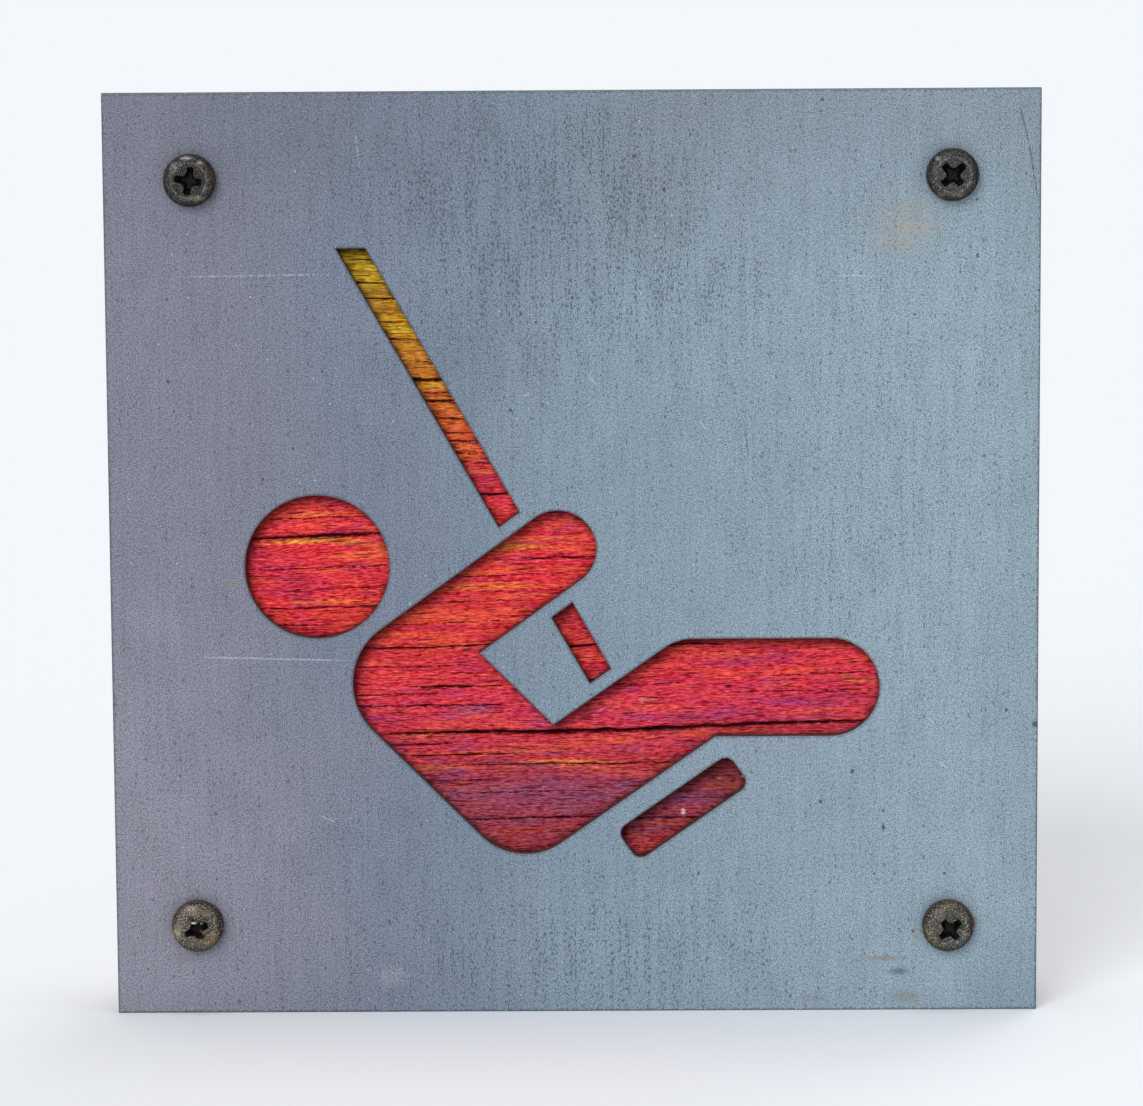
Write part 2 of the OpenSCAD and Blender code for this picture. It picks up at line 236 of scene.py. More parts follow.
def new_material(name):
    """A new material, its tree, and the place on the piece in millimetres."""
    material = bpy.data.materials.new(name)
    material.use_nodes = True
    tree = material.node_tree
    return material, tree, in_mm(tree, put(tree, "ShaderNodeTexCoord").outputs["Object"])


def feed_shader(tree, tone, metallic, roughness, relief, strength, depth, specular=0.5):
    """Feeds a finish to the Principled shader. Relief becomes a bump, with its depth in millimetres."""
    inputs = tree.nodes["Principled BSDF"].inputs
    bump = {"Height": relief, "Strength": strength, "Distance": depth * MM}
    normal = put(tree, "ShaderNodeBump", bump).outputs[0]
    for name, value in (("Base Color", tone), ("Roughness", roughness), ("Normal", normal)):
        tree.links.new(value, inputs[name])
    if metallic is not None:
        tree.links.new(metallic, inputs["Metallic"])
    inputs["Specular IOR Level"].default_value = specular


# %% [markdown]
# ## Floor, pale background and soft light
# The sign stands on a plain pale floor. A tilted backdrop would hide it in views from behind, so the floor
# simply runs on to the horizon, and the world behind it has the same pale colour. The floor lets the
# camera see through it from below. One broad sun from the upper left throws the soft shadow that the
# cut-outs show along their upper left edges. A second one from above brightens the floor and the upper
# edges, a weak one from behind lights the back for views from there, and the sky fills the rest.

# %% Lay the floor and set the light
PALE = "f1f4f8"
FLOOR_SIDE = 40.0
SKY_STRENGTH = 0.36
KEY_STRENGTH = 1.6
KEY_SPREAD = math.radians(32)
KEY_FROM = Vector((-0.42, -1.0, 0.66))
BACK_STRENGTH = 0.5
BACK_FROM = Vector((0.5, 1.0, 0.7))
TOP_STRENGTH = 1.0
TOP_FROM = Vector((0.05, 0.1, 1.0))


def floor_material():
    material, tree, _ = new_material("pale_floor")
    shader = tree.nodes["Principled BSDF"]
    shader.inputs["Base Color"].default_value = colour(PALE)
    shader.inputs["Roughness"].default_value = 0.9
    shader.inputs["Specular IOR Level"].default_value = 0.0
    behind = put(tree, "ShaderNodeNewGeometry").outputs["Backfacing"]
    seen = put(tree, "ShaderNodeLightPath").outputs["Is Camera Ray"]
    clear = put(tree, "ShaderNodeBsdfTransparent")
    choice = {0: product(tree, behind, seen), 1: shader.outputs[0], 2: clear.outputs[0]}
    either = put(tree, "ShaderNodeMixShader", choice)
    tree.links.new(either.outputs[0], tree.nodes["Material Output"].inputs["Surface"])
    return material


def sun(name, strength, spread, comes_from):
    lamp = bpy.data.lights.new(name, "SUN")
    lamp.energy = strength
    lamp.angle = spread
    placed(name, lamp).rotation_euler = comes_from.to_track_quat("Z", "Y").to_euler()


def pale_world():
    """Pale to the camera and in reflections, and an even sky for lighting the sign."""
    world = bpy.data.worlds.new("pale_world")
    world.use_nodes = True
    tree = world.node_tree
    tree.nodes.clear()
    path = put(tree, "ShaderNodeLightPath").outputs
    shown = calc(tree, "MAXIMUM", path["Is Camera Ray"], path["Is Glossy Ray"])
    shown = calc(tree, "MAXIMUM", shown, path["Is Transmission Ray"])
    sky = put(tree, "ShaderNodeBackground", {"Color": colour("ffffff"), "Strength": SKY_STRENGTH})
    shell = put(tree, "ShaderNodeBackground", {"Color": colour(PALE), "Strength": 1.0})
    either = put(tree, "ShaderNodeMixShader", {0: shown, 1: sky.outputs[0], 2: shell.outputs[0]})
    put(tree, "ShaderNodeOutputWorld", {"Surface": either.outputs[0]})
    return world


half = FLOOR_SIDE / 2
corners = [(-half, -half, 0), (half, -half, 0), (half, half, 0), (-half, half, 0)]
floor_mesh = bpy.data.meshes.new("floor")
floor_mesh.from_pydata(corners, [], [(0, 1, 2, 3)])
floor_mesh.materials.append(floor_material())
floor = placed("floor", floor_mesh)
sun("key_light", KEY_STRENGTH, KEY_SPREAD, KEY_FROM)
sun("back_light", BACK_STRENGTH, KEY_SPREAD, BACK_FROM)
sun("top_light", TOP_STRENGTH, KEY_SPREAD, TOP_FROM)
bpy.context.scene.world = pale_world()
bpy.context.scene.view_settings.view_transform = "Standard"

# %% [markdown]
# ## Making plain meshes
# Every piece ends as a plain mesh with its place in its vertices, riding on the sign's one body, and it
# says which measured part it stands for. These helpers do that in one place, so no piece forgets a step.

# %% Helpers that finish a piece
MERGE = 1e-6


def mesh_object(name, vertices, faces):
    """An object from vertices in metres."""
    mesh = bpy.data.meshes.new(name)
    mesh.from_pydata([tuple(v) for v in vertices], [], [tuple(f) for f in faces])
    mesh.validate()
    return placed(name, mesh)


def set_value(piece, name, values, kind="FLOAT"):
    """Stores one number, or one vector, for each vertex."""
    attribute = piece.data.attributes.new(name, kind, "POINT")
    field = "vector" if kind == "FLOAT_VECTOR" else "value"
    attribute.data.foreach_set(field, np.asarray(values, float).ravel())


def outward(piece):
    """Turns every face of a closed mesh to the outside."""
    shell = bmesh.new()
    shell.from_mesh(piece.data)
    bmesh.ops.recalc_face_normals(shell, faces=shell.faces)
    shell.to_mesh(piece.data)
    shell.free()


def baked(piece):
    """Applies a piece's modifiers for good."""
    graph = bpy.context.evaluated_depsgraph_get()
    shaped = piece.evaluated_get(graph)
    mesh = bpy.data.meshes.new_from_object(shaped, preserve_all_data_layers=True, depsgraph=graph)
    piece.modifiers.clear()
    piece.data = mesh
    mesh.name = piece.name
    return piece


def finish_piece(piece, node, material):
    """The piece stands for a measured node, which is hidden, and takes the material it is given."""
    piece.data.materials.clear()
    piece.data.materials.append(material)
    piece.data.shade_smooth()
    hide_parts(node)
    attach(piece, "root")
    piece.data.calc_loop_triangles()
    print(piece.name, "stands for", node, "with", len(piece.data.loop_triangles), "triangles")


def merged_copy(node, name):
    """A copy of a measured node as one skin, because its own mesh is loose triangles."""
    skin = bmesh.new()
    skin.from_mesh(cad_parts[node].data)
    bmesh.ops.remove_doubles(skin, verts=skin.verts, dist=MERGE)
    mesh = bpy.data.meshes.new(name)
    skin.to_mesh(mesh)
    skin.free()
    return placed(name, mesh)


# %% [markdown]
# ## The sheet: its outlines
# The real sheet was cut by a laser, so its outline is exact but its cut edge is not: the corner is softly
# rounded by handling, and the wall of the cut has fine upright ridges. The measured node has the right
# shape with knife-sharp edges. Bevelling it would leave long thin triangles with no vertices to carry wear,
# so the sheet is built again from the node's own outlines: they are read from its front face, and their
# arcs are made smooth by curves between the measured points.

# %% Read the outlines of the sheet's front face
CORNER_TURN = math.radians(25)
OUTLINE_STEP = 0.55
LONG_SIDE_RATIO = 2.5


def front_outlines(node):
    """The closed outlines of a node's front face, as arrays of (x, z) in mm. Metal is on their left."""
    skin = bmesh.new()
    skin.from_mesh(merged_copy(node, "outline_source").data)
    bpy.data.objects.remove(bpy.data.objects["outline_source"])
    # A list keeps the faces in order, so that the outlines come out the same in every run
    front = [f for f in skin.faces if f.normal.y < -0.99]
    in_front = set(front)
    rim = {}
    for face in front:
        for loop in face.loops:
            if not any(other in in_front for other in loop.edge.link_faces if other is not face):
                rim[loop.vert] = loop.link_loop_next.vert
    outlines = []
    while rim:
        start, following = rim.popitem()
        points = [start]
        while following is not start:
            points.append(following)
            following = rim.pop(following)
        outlines.append(np.array([(v.co.x, v.co.z) for v in points]) / MM)
    skin.free()
    return outlines


def smooth_outline(points, step):
    """The outline with a point every step: arcs between measured points become curves, corners stay."""
    ahead = np.roll(points, -1, 0) - points
    length = np.hypot(*ahead.T)
    along = ahead / length[:, None]
    before = np.roll(along, 1, 0)
    before_length = np.roll(length, 1)
    turned = np.arccos(np.clip((along * before).sum(1), -1, 1))
    corner = turned > CORNER_TURN
    # At an arc point the tangent halves the turn, but beside a long straight side it follows the side
    tangent = np.where((before_length > LONG_SIDE_RATIO * length)[:, None], before, along)
    even = (before_length < LONG_SIDE_RATIO * length) & (length < LONG_SIDE_RATIO * before_length)
    halfway = before + along
    halfway /= np.hypot(*halfway.T)[:, None]
    tangent = np.where(even[:, None], halfway, tangent)
    dense = []
    for i in range(len(points)):
        j = (i + 1) % len(points)
        start_way = along[i] if corner[i] else tangent[i]
        end_way = along[i] if corner[j] else tangent[j]
        count = max(1, math.ceil(length[i] / step))
        t = (np.arange(count) / count)[:, None]
        dense.append(
            points[i] * (2 * t**3 - 3 * t**2 + 1)
            + points[j] * (3 * t**2 - 2 * t**3)
            + start_way * length[i] * (t**3 - 2 * t**2 + t)
            + end_way * length[i] * (t**3 - t**2)
        )
    return np.vstack(dense)


outlines = [smooth_outline(points, OUTLINE_STEP) for points in front_outlines("face_plate")]
print(len(outlines), "outlines with", sum(map(len, outlines)), "points")

# %% [markdown]
# ## The sheet: its mesh
# Rings of vertices follow every outline at a few small distances, and a sparse grid fills the rest. A
# Delaunay triangulation joins them into one flat mesh. Each vertex knows how far it is from the nearest
# edge: the rounding of the edge comes from that distance, and the material uses it again for edge wear.

# %% Helpers for a flat cut sheet
EDGE_ROUND = 0.17
RINGS = (0.03, 0.08, EDGE_ROUND, 0.3, 0.6, 1.2)
FILL_STEP = 2.6
CHUNK = 2000


def rim_frame(points):
    """The direction into the metal at each point, lengthened at corners so that the rings stay parallel."""
    along = np.roll(points, -1, 0) - points
    along /= np.hypot(*along.T)[:, None]
    inward = np.column_stack((-along[:, 1], along[:, 0]))
    both = inward + np.roll(inward, 1, 0)
    both /= np.hypot(*both.T)[:, None]
    return both / np.maximum((both * inward).sum(1), 0.4)[:, None]


def edge_distance(spots, outlines):
    """The distance from each spot to the nearest outline."""
    nearest = np.full(len(spots), np.inf)
    for points in outlines:
        start = points
        way = np.roll(points, -1, 0) - points
        squared = (way**2).sum(1)
        for chunk in range(0, len(spots), CHUNK):
            part = spots[chunk : chunk + CHUNK, None, :] - start[None]
            share = np.clip((part * way[None]).sum(2) / squared[None], 0, 1)
            gap = np.hypot(*np.moveaxis(part - share[..., None] * way[None], 2, 0)).min(1)
            nearest[chunk : chunk + CHUNK] = np.minimum(nearest[chunk : chunk + CHUNK], gap)
    return nearest


def inside(spots, outlines):
    """Whether each spot lies in the metal, by counting the outlines' crossings."""
    crossings = np.zeros(len(spots), int)
    for points in outlines:
        x0, z0 = points.T
        x1, z1 = np.roll(points, -1, 0).T
        for chunk in range(0, len(spots), CHUNK):
            x, z = spots[chunk : chunk + CHUNK].T[:, :, None]
            spans = (z0[None] > z) != (z1[None] > z)
            reach = x0 + (z - z0) * (x1 - x0) / np.where(z1 == z0, 1e-9, z1 - z0)
            crossings[chunk : chunk + CHUNK] += (spans & (x < reach)).sum(1)
    return crossings % 2 == 1


def flat_net(outlines, rings, fill_step, seed):
    """A triangulated flat sheet: its points, triangles, edge distances and the outlines' point numbers."""
    rim = np.vstack(outlines)
    spots = [rim]
    for ring in rings:
        ring_points = np.vstack([points + rim_frame(points) * ring for points in outlines])
        gap = edge_distance(ring_points, outlines)
        spots.append(ring_points[(gap > 0.97 * ring) & inside(ring_points, outlines)])
    low, high = rim.min(0), rim.max(0)
    across = np.arange(low[0], high[0], fill_step)
    upward = np.arange(low[1], high[1], fill_step)
    fill = np.array([(x, z) for x in across for z in upward])
    fill += np.random.default_rng(seed).uniform(-0.3, 0.3, fill.shape) * fill_step
    fill = fill[inside(fill, outlines)]
    spots.append(fill[edge_distance(fill, outlines) > 1.3 * rings[-1]])
    spots = np.vstack(spots)
    sides = []
    first = 0
    for points in outlines:
        count = len(points)
        sides += [(first + i, first + (i + 1) % count) for i in range(count)]
        first += count
    result = delaunay_2d_cdt([Vector(p) for p in spots], sides, [], 0, 1e-7, True)
    points = np.array(result[0])
    triangles = np.array(result[2])
    triangles = triangles[inside(points[triangles].mean(1), outlines)]
    origin = {old: new for new, olds in enumerate(result[3]) for old in olds}
    rim_numbers = np.array([origin[i] for i in range(len(rim))])
    distance = edge_distance(points, outlines)
    distance[rim_numbers] = 0.0
    return points, triangles, distance, rim_numbers, np.array(sides)


# %% [markdown]
# The flat net is used twice, for the front and for the back, and strips of quads along every outline close
# the wall between them. The wall gets the ridges that a laser leaves: small steps into the metal that run
# through the sheet's thickness and fan out a little towards the back.

# %% Build the sheet
CUT_RIDGE = 0.05
WALL_ROWS = 5
SHEET_DENT = 0.035


def rounded_drop(distance, radius):
    """How far the surface lies below its plane at a distance from the rounded edge."""
    reach = np.clip(1 - distance / radius, 0, 1)
    return radius * (1 - np.sqrt(1 - reach**2))


def ridge_pattern(count, rng):
    """Uneven ridges along an outline, from 0 to 1."""
    rough = rng.random(count)
    broad = np.convolve(np.concatenate((rough[-3:], rough, rough[:3])), np.ones(7) / 7, "valid")
    return 0.6 * rough + 0.4 * broad


def cut_sheet(name, outlines, front, back, seed):
    points, triangles, distance, rim_numbers, sides = flat_net(outlines, RINGS, FILL_STEP, seed)
    rng = np.random.default_rng(seed)
    count = len(points)
    waves = np.sin(points[:, 0] / 19 + 1.3) * np.cos(points[:, 1] / 23 - 0.4)
    waves += 0.5 * np.sin(points.sum(1) / 11)
    dent = SHEET_DENT * (waves - waves.min()) / np.ptp(waves) * np.clip(distance / 6, 0, 1)
    drop = rounded_drop(distance, EDGE_ROUND)
    front_side = np.column_stack((points[:, 0], front + drop + dent, points[:, 1]))
    back_side = np.column_stack((points[:, 0], back - drop, points[:, 1]))
    inward = np.vstack([rim_frame(points) for points in outlines])
    ridges = np.concatenate([ridge_pattern(len(points), rng) for points in outlines])
    rows = []
    for row in range(1, WALL_ROWS + 1):
        share = row / (WALL_ROWS + 1)
        depth = front + EDGE_ROUND + share * (back - front - 2 * EDGE_ROUND)
        fan = CUT_RIDGE * math.sin(math.pi * share) * (0.4 + 0.6 * share)
        place = points[rim_numbers] + inward * (ridges * fan)[:, None]
        rows.append(np.column_stack((place[:, 0], np.full(len(place), depth), place[:, 1])))
    vertices = np.vstack((front_side, back_side, *rows))
    bands = [rim_numbers]
    bands += [2 * count + row * len(rim_numbers) + np.arange(len(rim_numbers)) for row in range(WALL_ROWS)]
    bands.append(count + rim_numbers)
    faces = [tuple(t) for t in triangles] + [tuple(count + t[::-1]) for t in triangles]
    for near, far in zip(bands, bands[1:]):
        faces += [(near[i], far[i], far[j], near[j]) for i, j in sides]
    made = mesh_object(name, vertices * MM, faces)
    wall = [-math.sin(math.pi * row / (WALL_ROWS + 1)) for row in range(1, WALL_ROWS + 1)]
    wall_values = np.repeat(wall, len(rim_numbers))
    set_value(made, "edge", np.concatenate((distance, distance, wall_values)))
    outward(made)
    return made


sheet_low, sheet_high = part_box("face_plate")
sheet = cut_sheet("sign_sheet", outlines, sheet_low.y / MM, sheet_high.y / MM, seed=3)
faces_on_edge = np.bincount([loop.edge_index for loop in sheet.data.loops])
open_edges = np.count_nonzero(faces_on_edge != 2)
print("the sheet has", len(sheet.data.vertices), "vertices and", open_edges, "open edges")

# %% [markdown]
# ## The board: where it has cracked
# Old softwood that stands in the weather opens along its grain. On this board the grain runs level, with a
# slight rise to the right in its lower half, and every crack follows it. The cracks in the cut-outs are
# placed as they are on the real board, each by its two ends, its height at the middle and how far it
# gapes. Seen from a little above, a crack looks some tenths of a millimetre higher against the sheet than
# it lies on the board, and the list has the board's own heights. The wave that bends the grain is
# one formula, so that the cracks and the colour streaks bend together.

# %% List the cracks and the bend of the grain
# Left end, right end, height at the middle, and gap, all in mm
FRONT_CRACKS = [
    (-36.5, -29.0, 119.3, 0.28), (-35.0, -27.0, 116.8, 0.28), (-33.0, -25.0, 113.0, 0.14),
    (-31.0, -24.0, 110.2, 0.24), (-29.0, -20.0, 106.6, 0.10), (-29.5, -19.5, 103.6, 0.60),
    (-26.0, -19.0, 101.5, 0.14), (-26.5, -17.0, 100.2, 0.32), (-24.5, -17.0, 97.3, 0.24),
    (-23.0, -15.0, 95.0, 0.12), (-23.0, -13.0, 93.7, 0.26), (-20.0, -12.0, 91.7, 0.17),
    (-18.0, -11.0, 90.1, 0.14), (-17.0, -8.0, 84.9, 0.34), (-52.0, -36.0, 81.2, 0.12),
    (-54.0, -29.0, 78.3, 0.60), (-53.0, -28.0, 73.1, 0.16), (-46.0, -29.0, 69.7, 0.13),
    (-52.0, -31.0, 66.6, 0.20), (-50.0, -39.0, 63.7, 0.16), (-9.0, 4.5, 74.6, 0.29),
    (-24.0, -3.0, 71.7, 0.10), (-30.0, -8.0, 67.3, 0.10), (-36.0, -12.0, 63.8, 0.09),
    (-37.0, -9.0, 60.0, 0.30), (-4.0, 8.0, 60.1, 0.42), (12.0, 24.0, 60.3, 0.30),
    (-36.0, -18.0, 56.8, 0.14), (-22.0, -9.0, 55.8, 0.12), (-27.0, -11.0, 53.5, 0.33),
    (-38.0, -22.0, 52.2, 0.16), (6.0, 18.0, 53.7, 0.10), (31.0, 49.0, 55.3, 0.14),
    (23.0, 49.0, 52.5, 0.10), (-36.0, -11.0, 50.4, 0.24), (-31.0, 50.0, 46.3, 0.70),
    (-32.0, -19.0, 44.0, 0.22), (-28.0, -10.0, 42.3, 0.30), (-23.0, 20.0, 40.7, 0.24),
    (-26.0, -12.0, 38.0, 0.20), (-22.0, 3.0, 36.1, 0.10), (13.0, 27.0, 35.1, 0.11),
    (-20.0, 6.0, 31.8, 0.30), (8.0, 23.0, 31.7, 0.22), (-14.0, -2.0, 26.0, 0.30),
    (-2.0, 12.0, 29.0, 0.12), (-44.0, 30.0, 137.5, 0.30), (20.0, 66.0, 126.0, 0.34),
    (5.0, 62.0, 98.0, 0.22), (28.0, 70.0, 72.0, 0.30), (-70.0, -48.0, 45.0, 0.40),
    (-70.0, -30.0, 108.0, 0.26), (-60.0, 40.0, 11.5, 0.34), (34.0, 70.0, 22.0, 0.20),
]
BACK_CRACKS = [
    (-70.0, -12.0, 88.0, 0.50), (-8.0, 58.0, 62.0, 0.36), (20.0, 70.0, 133.0, 0.30),
    (-52.0, 6.0, 28.0, 0.40), (18.0, 70.0, 17.0, 0.44), (-70.0, -44.0, 54.0, 0.24),
    (-24.0, 22.0, 118.0, 0.24),
]
GRAIN_RISE = math.tan(math.radians(1.3))
RISE_FROM, RISE_FULL = 118.0, 72.0
STILL_MARGIN = 12.0
LONG_WAVE = (0.30, 24.0, 10.0)
SHORT_WAVE = (0.12, 8.0, 4.5)


def grain_bend(x, z, board_top):
    """How far the bent grain lies above the straight grain line z, at x, in mm."""
    rise = np.clip((RISE_FROM - z) / (RISE_FROM - RISE_FULL), 0, 1)
    still = np.clip(z / STILL_MARGIN, 0, 1) * np.clip((board_top - z) / STILL_MARGIN, 0, 1)
    wave = sum(size * np.sin(x / length + z / height) for size, length, height in (LONG_WAVE, SHORT_WAVE))
    return still * (GRAIN_RISE * rise * x + wave)


def straight_height(x, z, board_top):
    """The straight grain line that passes through (x, z) once it is bent."""
    line = z
    for _ in range(6):
        line = z - grain_bend(x, line, board_top)
    return line


board_low, board_high = (np.array(corner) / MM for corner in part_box("backing_board"))
front_lines = [
    (left, right, straight_height((left + right) / 2, z, board_high[2]), gap)
    for left, right, z, gap in FRONT_CRACKS
]
print(len(FRONT_CRACKS), "cracks in front and", len(BACK_CRACKS), "behind")

# %% [markdown]
# ## The board: a plain blank
# The relief is carved by Geometry Nodes, which can only move vertices that are there. The blank is a
# sleeve of rows that run along the grain, half a millimetre apart in front and wider apart behind, with a
# few more rows on each crack, and two end faces made by the same net as the sheet. Subdividing a box evenly
# would need ten times the faces to show a crack a fifth of a millimetre wide.

# %% Build the blank
ARRIS_R = 1.5
ROW_STEP = 0.5
BACK_ROW_STEP = 1.3
COLUMN_STEP = 1.5
END_RINGS = (0.1, 0.25, 0.5, 1.0)
END_FILL_STEP = 1.6
CLOSEST_ROWS = 0.04
WIDE_GAP = 0.15
END_ROUND = 0.4
SKIN_DEPTH = 0.02


def crack_rows(lines, low, high, step):
    """Evenly spaced rows, with extra rows across each crack."""
    rows = list(np.arange(low, high, step)) + [high]
    for _, _, z, gap in lines:
        shares = (-1.1, -0.75, -0.4, 0, 0.4, 0.75, 1.1) if gap > WIDE_GAP else (-1.0, -0.5, 0, 0.5, 1.0)
        rows += [z + share * gap for share in shares]
    rows = sorted(row for row in rows if low <= row <= high)
    kept = [rows[0]]
    for row in rows[1:]:
        if row - kept[-1] > CLOSEST_ROWS:
            kept.append(row)
    kept[-1] = high
    return np.array(kept)


def board_section():
    """The board's outline across the grain, as (y, z) points that go once round."""
    y0, y1 = board_low[1] + SKIN_DEPTH, board_high[1] - SKIN_DEPTH
    z0, z1 = board_low[2] + SKIN_DEPTH, board_high[2] - SKIN_DEPTH
    turn = np.linspace(0, math.pi / 2, 8)
    arc = np.column_stack((np.cos(turn), np.sin(turn))) * ARRIS_R
    edge = np.linspace(y0 + ARRIS_R, y1 - ARRIS_R, 20)[1:-1]
    front = crack_rows(front_lines, z0 + ARRIS_R, z1 - ARRIS_R, ROW_STEP)[1:-1]
    back = crack_rows(BACK_CRACKS, z0 + ARRIS_R, z1 - ARRIS_R, BACK_ROW_STEP)[1:-1][::-1]
    return np.vstack((
        np.column_stack((np.full(len(front), y0), front)),
        np.column_stack((y0 + ARRIS_R - arc[:, 0], z1 - ARRIS_R + arc[:, 1])),
        np.column_stack((edge, np.full(len(edge), z1))),
        np.column_stack((y1 - ARRIS_R + arc[::-1, 0], z1 - ARRIS_R + arc[::-1, 1])),
        np.column_stack((np.full(len(back), y1), back)),
        np.column_stack((y1 - ARRIS_R + arc[:, 0], z0 + ARRIS_R - arc[:, 1])),
        np.column_stack((edge[::-1], np.full(len(edge), z0))),
        np.column_stack((y0 + ARRIS_R - arc[::-1, 0], z0 + ARRIS_R - arc[::-1, 1])),
    ))


def board_blank(name):
    section = board_section()
    around = len(section)
    x0, x1 = board_low[0] + SKIN_DEPTH, board_high[0] - SKIN_DEPTH
    columns = np.linspace(x0 + END_ROUND, x1 - END_ROUND, round((x1 - x0) / COLUMN_STEP))
    sleeve = np.vstack([np.column_stack((np.full(around, x), section)) for x in columns])
    faces = []
    for c in range(len(columns) - 1):
        a = c * around + np.arange(around)
        b = c * around + (np.arange(around) + 1) % around
        faces += list(zip(a, b, b + around, a + around))
    parts = [sleeve]
    first = len(sleeve)
    # The net wants its outline with the material on the left
    net, triangles, distance, _, _ = flat_net([section[::-1]], END_RINGS, END_FILL_STEP, seed=11)
    drop = rounded_drop(distance, END_ROUND)
    for x_end, way in ((x0, 1), (x1, -1)):
        parts.append(np.column_stack((x_end + way * drop, net)))
        faces += [tuple(first + t) for t in (triangles if way > 0 else triangles[:, ::-1])]
        first += len(net)
    made = mesh_object(name, np.vstack(parts) * MM, faces)
    shell = bmesh.new()
    shell.from_mesh(made.data)
    bmesh.ops.remove_doubles(shell, verts=shell.verts, dist=5 * MERGE)
    shell.to_mesh(made.data)
    shell.free()
    outward(made)
    return made


board = board_blank("weathered_board")
print("the blank has", len(board.data.vertices), "vertices")

# %% [markdown]
# ## The board: relief by Geometry Nodes
# Weather wears the soft early wood away and leaves the hard late wood as ridges, raises fine fibres and
# opens the cracks. The tree below does these three things to the blank while its grain is straight, stores
# what the paint needs to know, and only then bends everything along the grain. Noise that is stretched
# forty times along x gives ridges that run with the grain and meet as rings on the end faces.

# %% Carve the relief and open the cracks
CRACK_DEPTH = 3.0
RIDGE_DEPTH = 0.16
FIBRE_DEPTH = 0.07


def crack_lines(name, lines, depth_place, seed):
    """The cracks as chains of edges on a face, each point with half the gap there."""
    rng = np.random.default_rng(seed)
    points, edges, gaps = [], [], []
    for left, right, z, gap in lines:
        count = max(4, round(right - left))
        first = len(points)
        for i in range(count + 1):
            share = i / count
            taper = math.sin(math.pi * min(max(share, 0.02), 0.98)) ** 0.4
            points.append((left + share * (right - left), depth_place, z))
            gaps.append(gap / 2 * taper * rng.uniform(0.75, 1.25))
        edges += [(first + i, first + i + 1) for i in range(count)]
    mesh = bpy.data.meshes.new(name)
    mesh.from_pydata([tuple(v * MM for v in p) for p in points], edges, [])
    chains = placed(name, mesh)
    set_value(chains, "half_gap", gaps)
    return chains


def moved(tree, geometry, key, vector):
    """Geometry whose points are moved by an Offset, or to a Position."""
    return put(tree, "GeometryNodeSetPosition", {"Geometry": geometry, key: vector}).outputs[0]


def end_tree(tree, geometry, material, gives):
    """Ends a tree with real geometry in one material."""
    whole = put(tree, "GeometryNodeRealizeInstances", {"Geometry": geometry}).outputs[0]
    whole = put(tree, "GeometryNodeSetMaterial", {"Geometry": whole, "Material": material}).outputs[0]
    tree.links.new(whole, gives[0])
    return tree


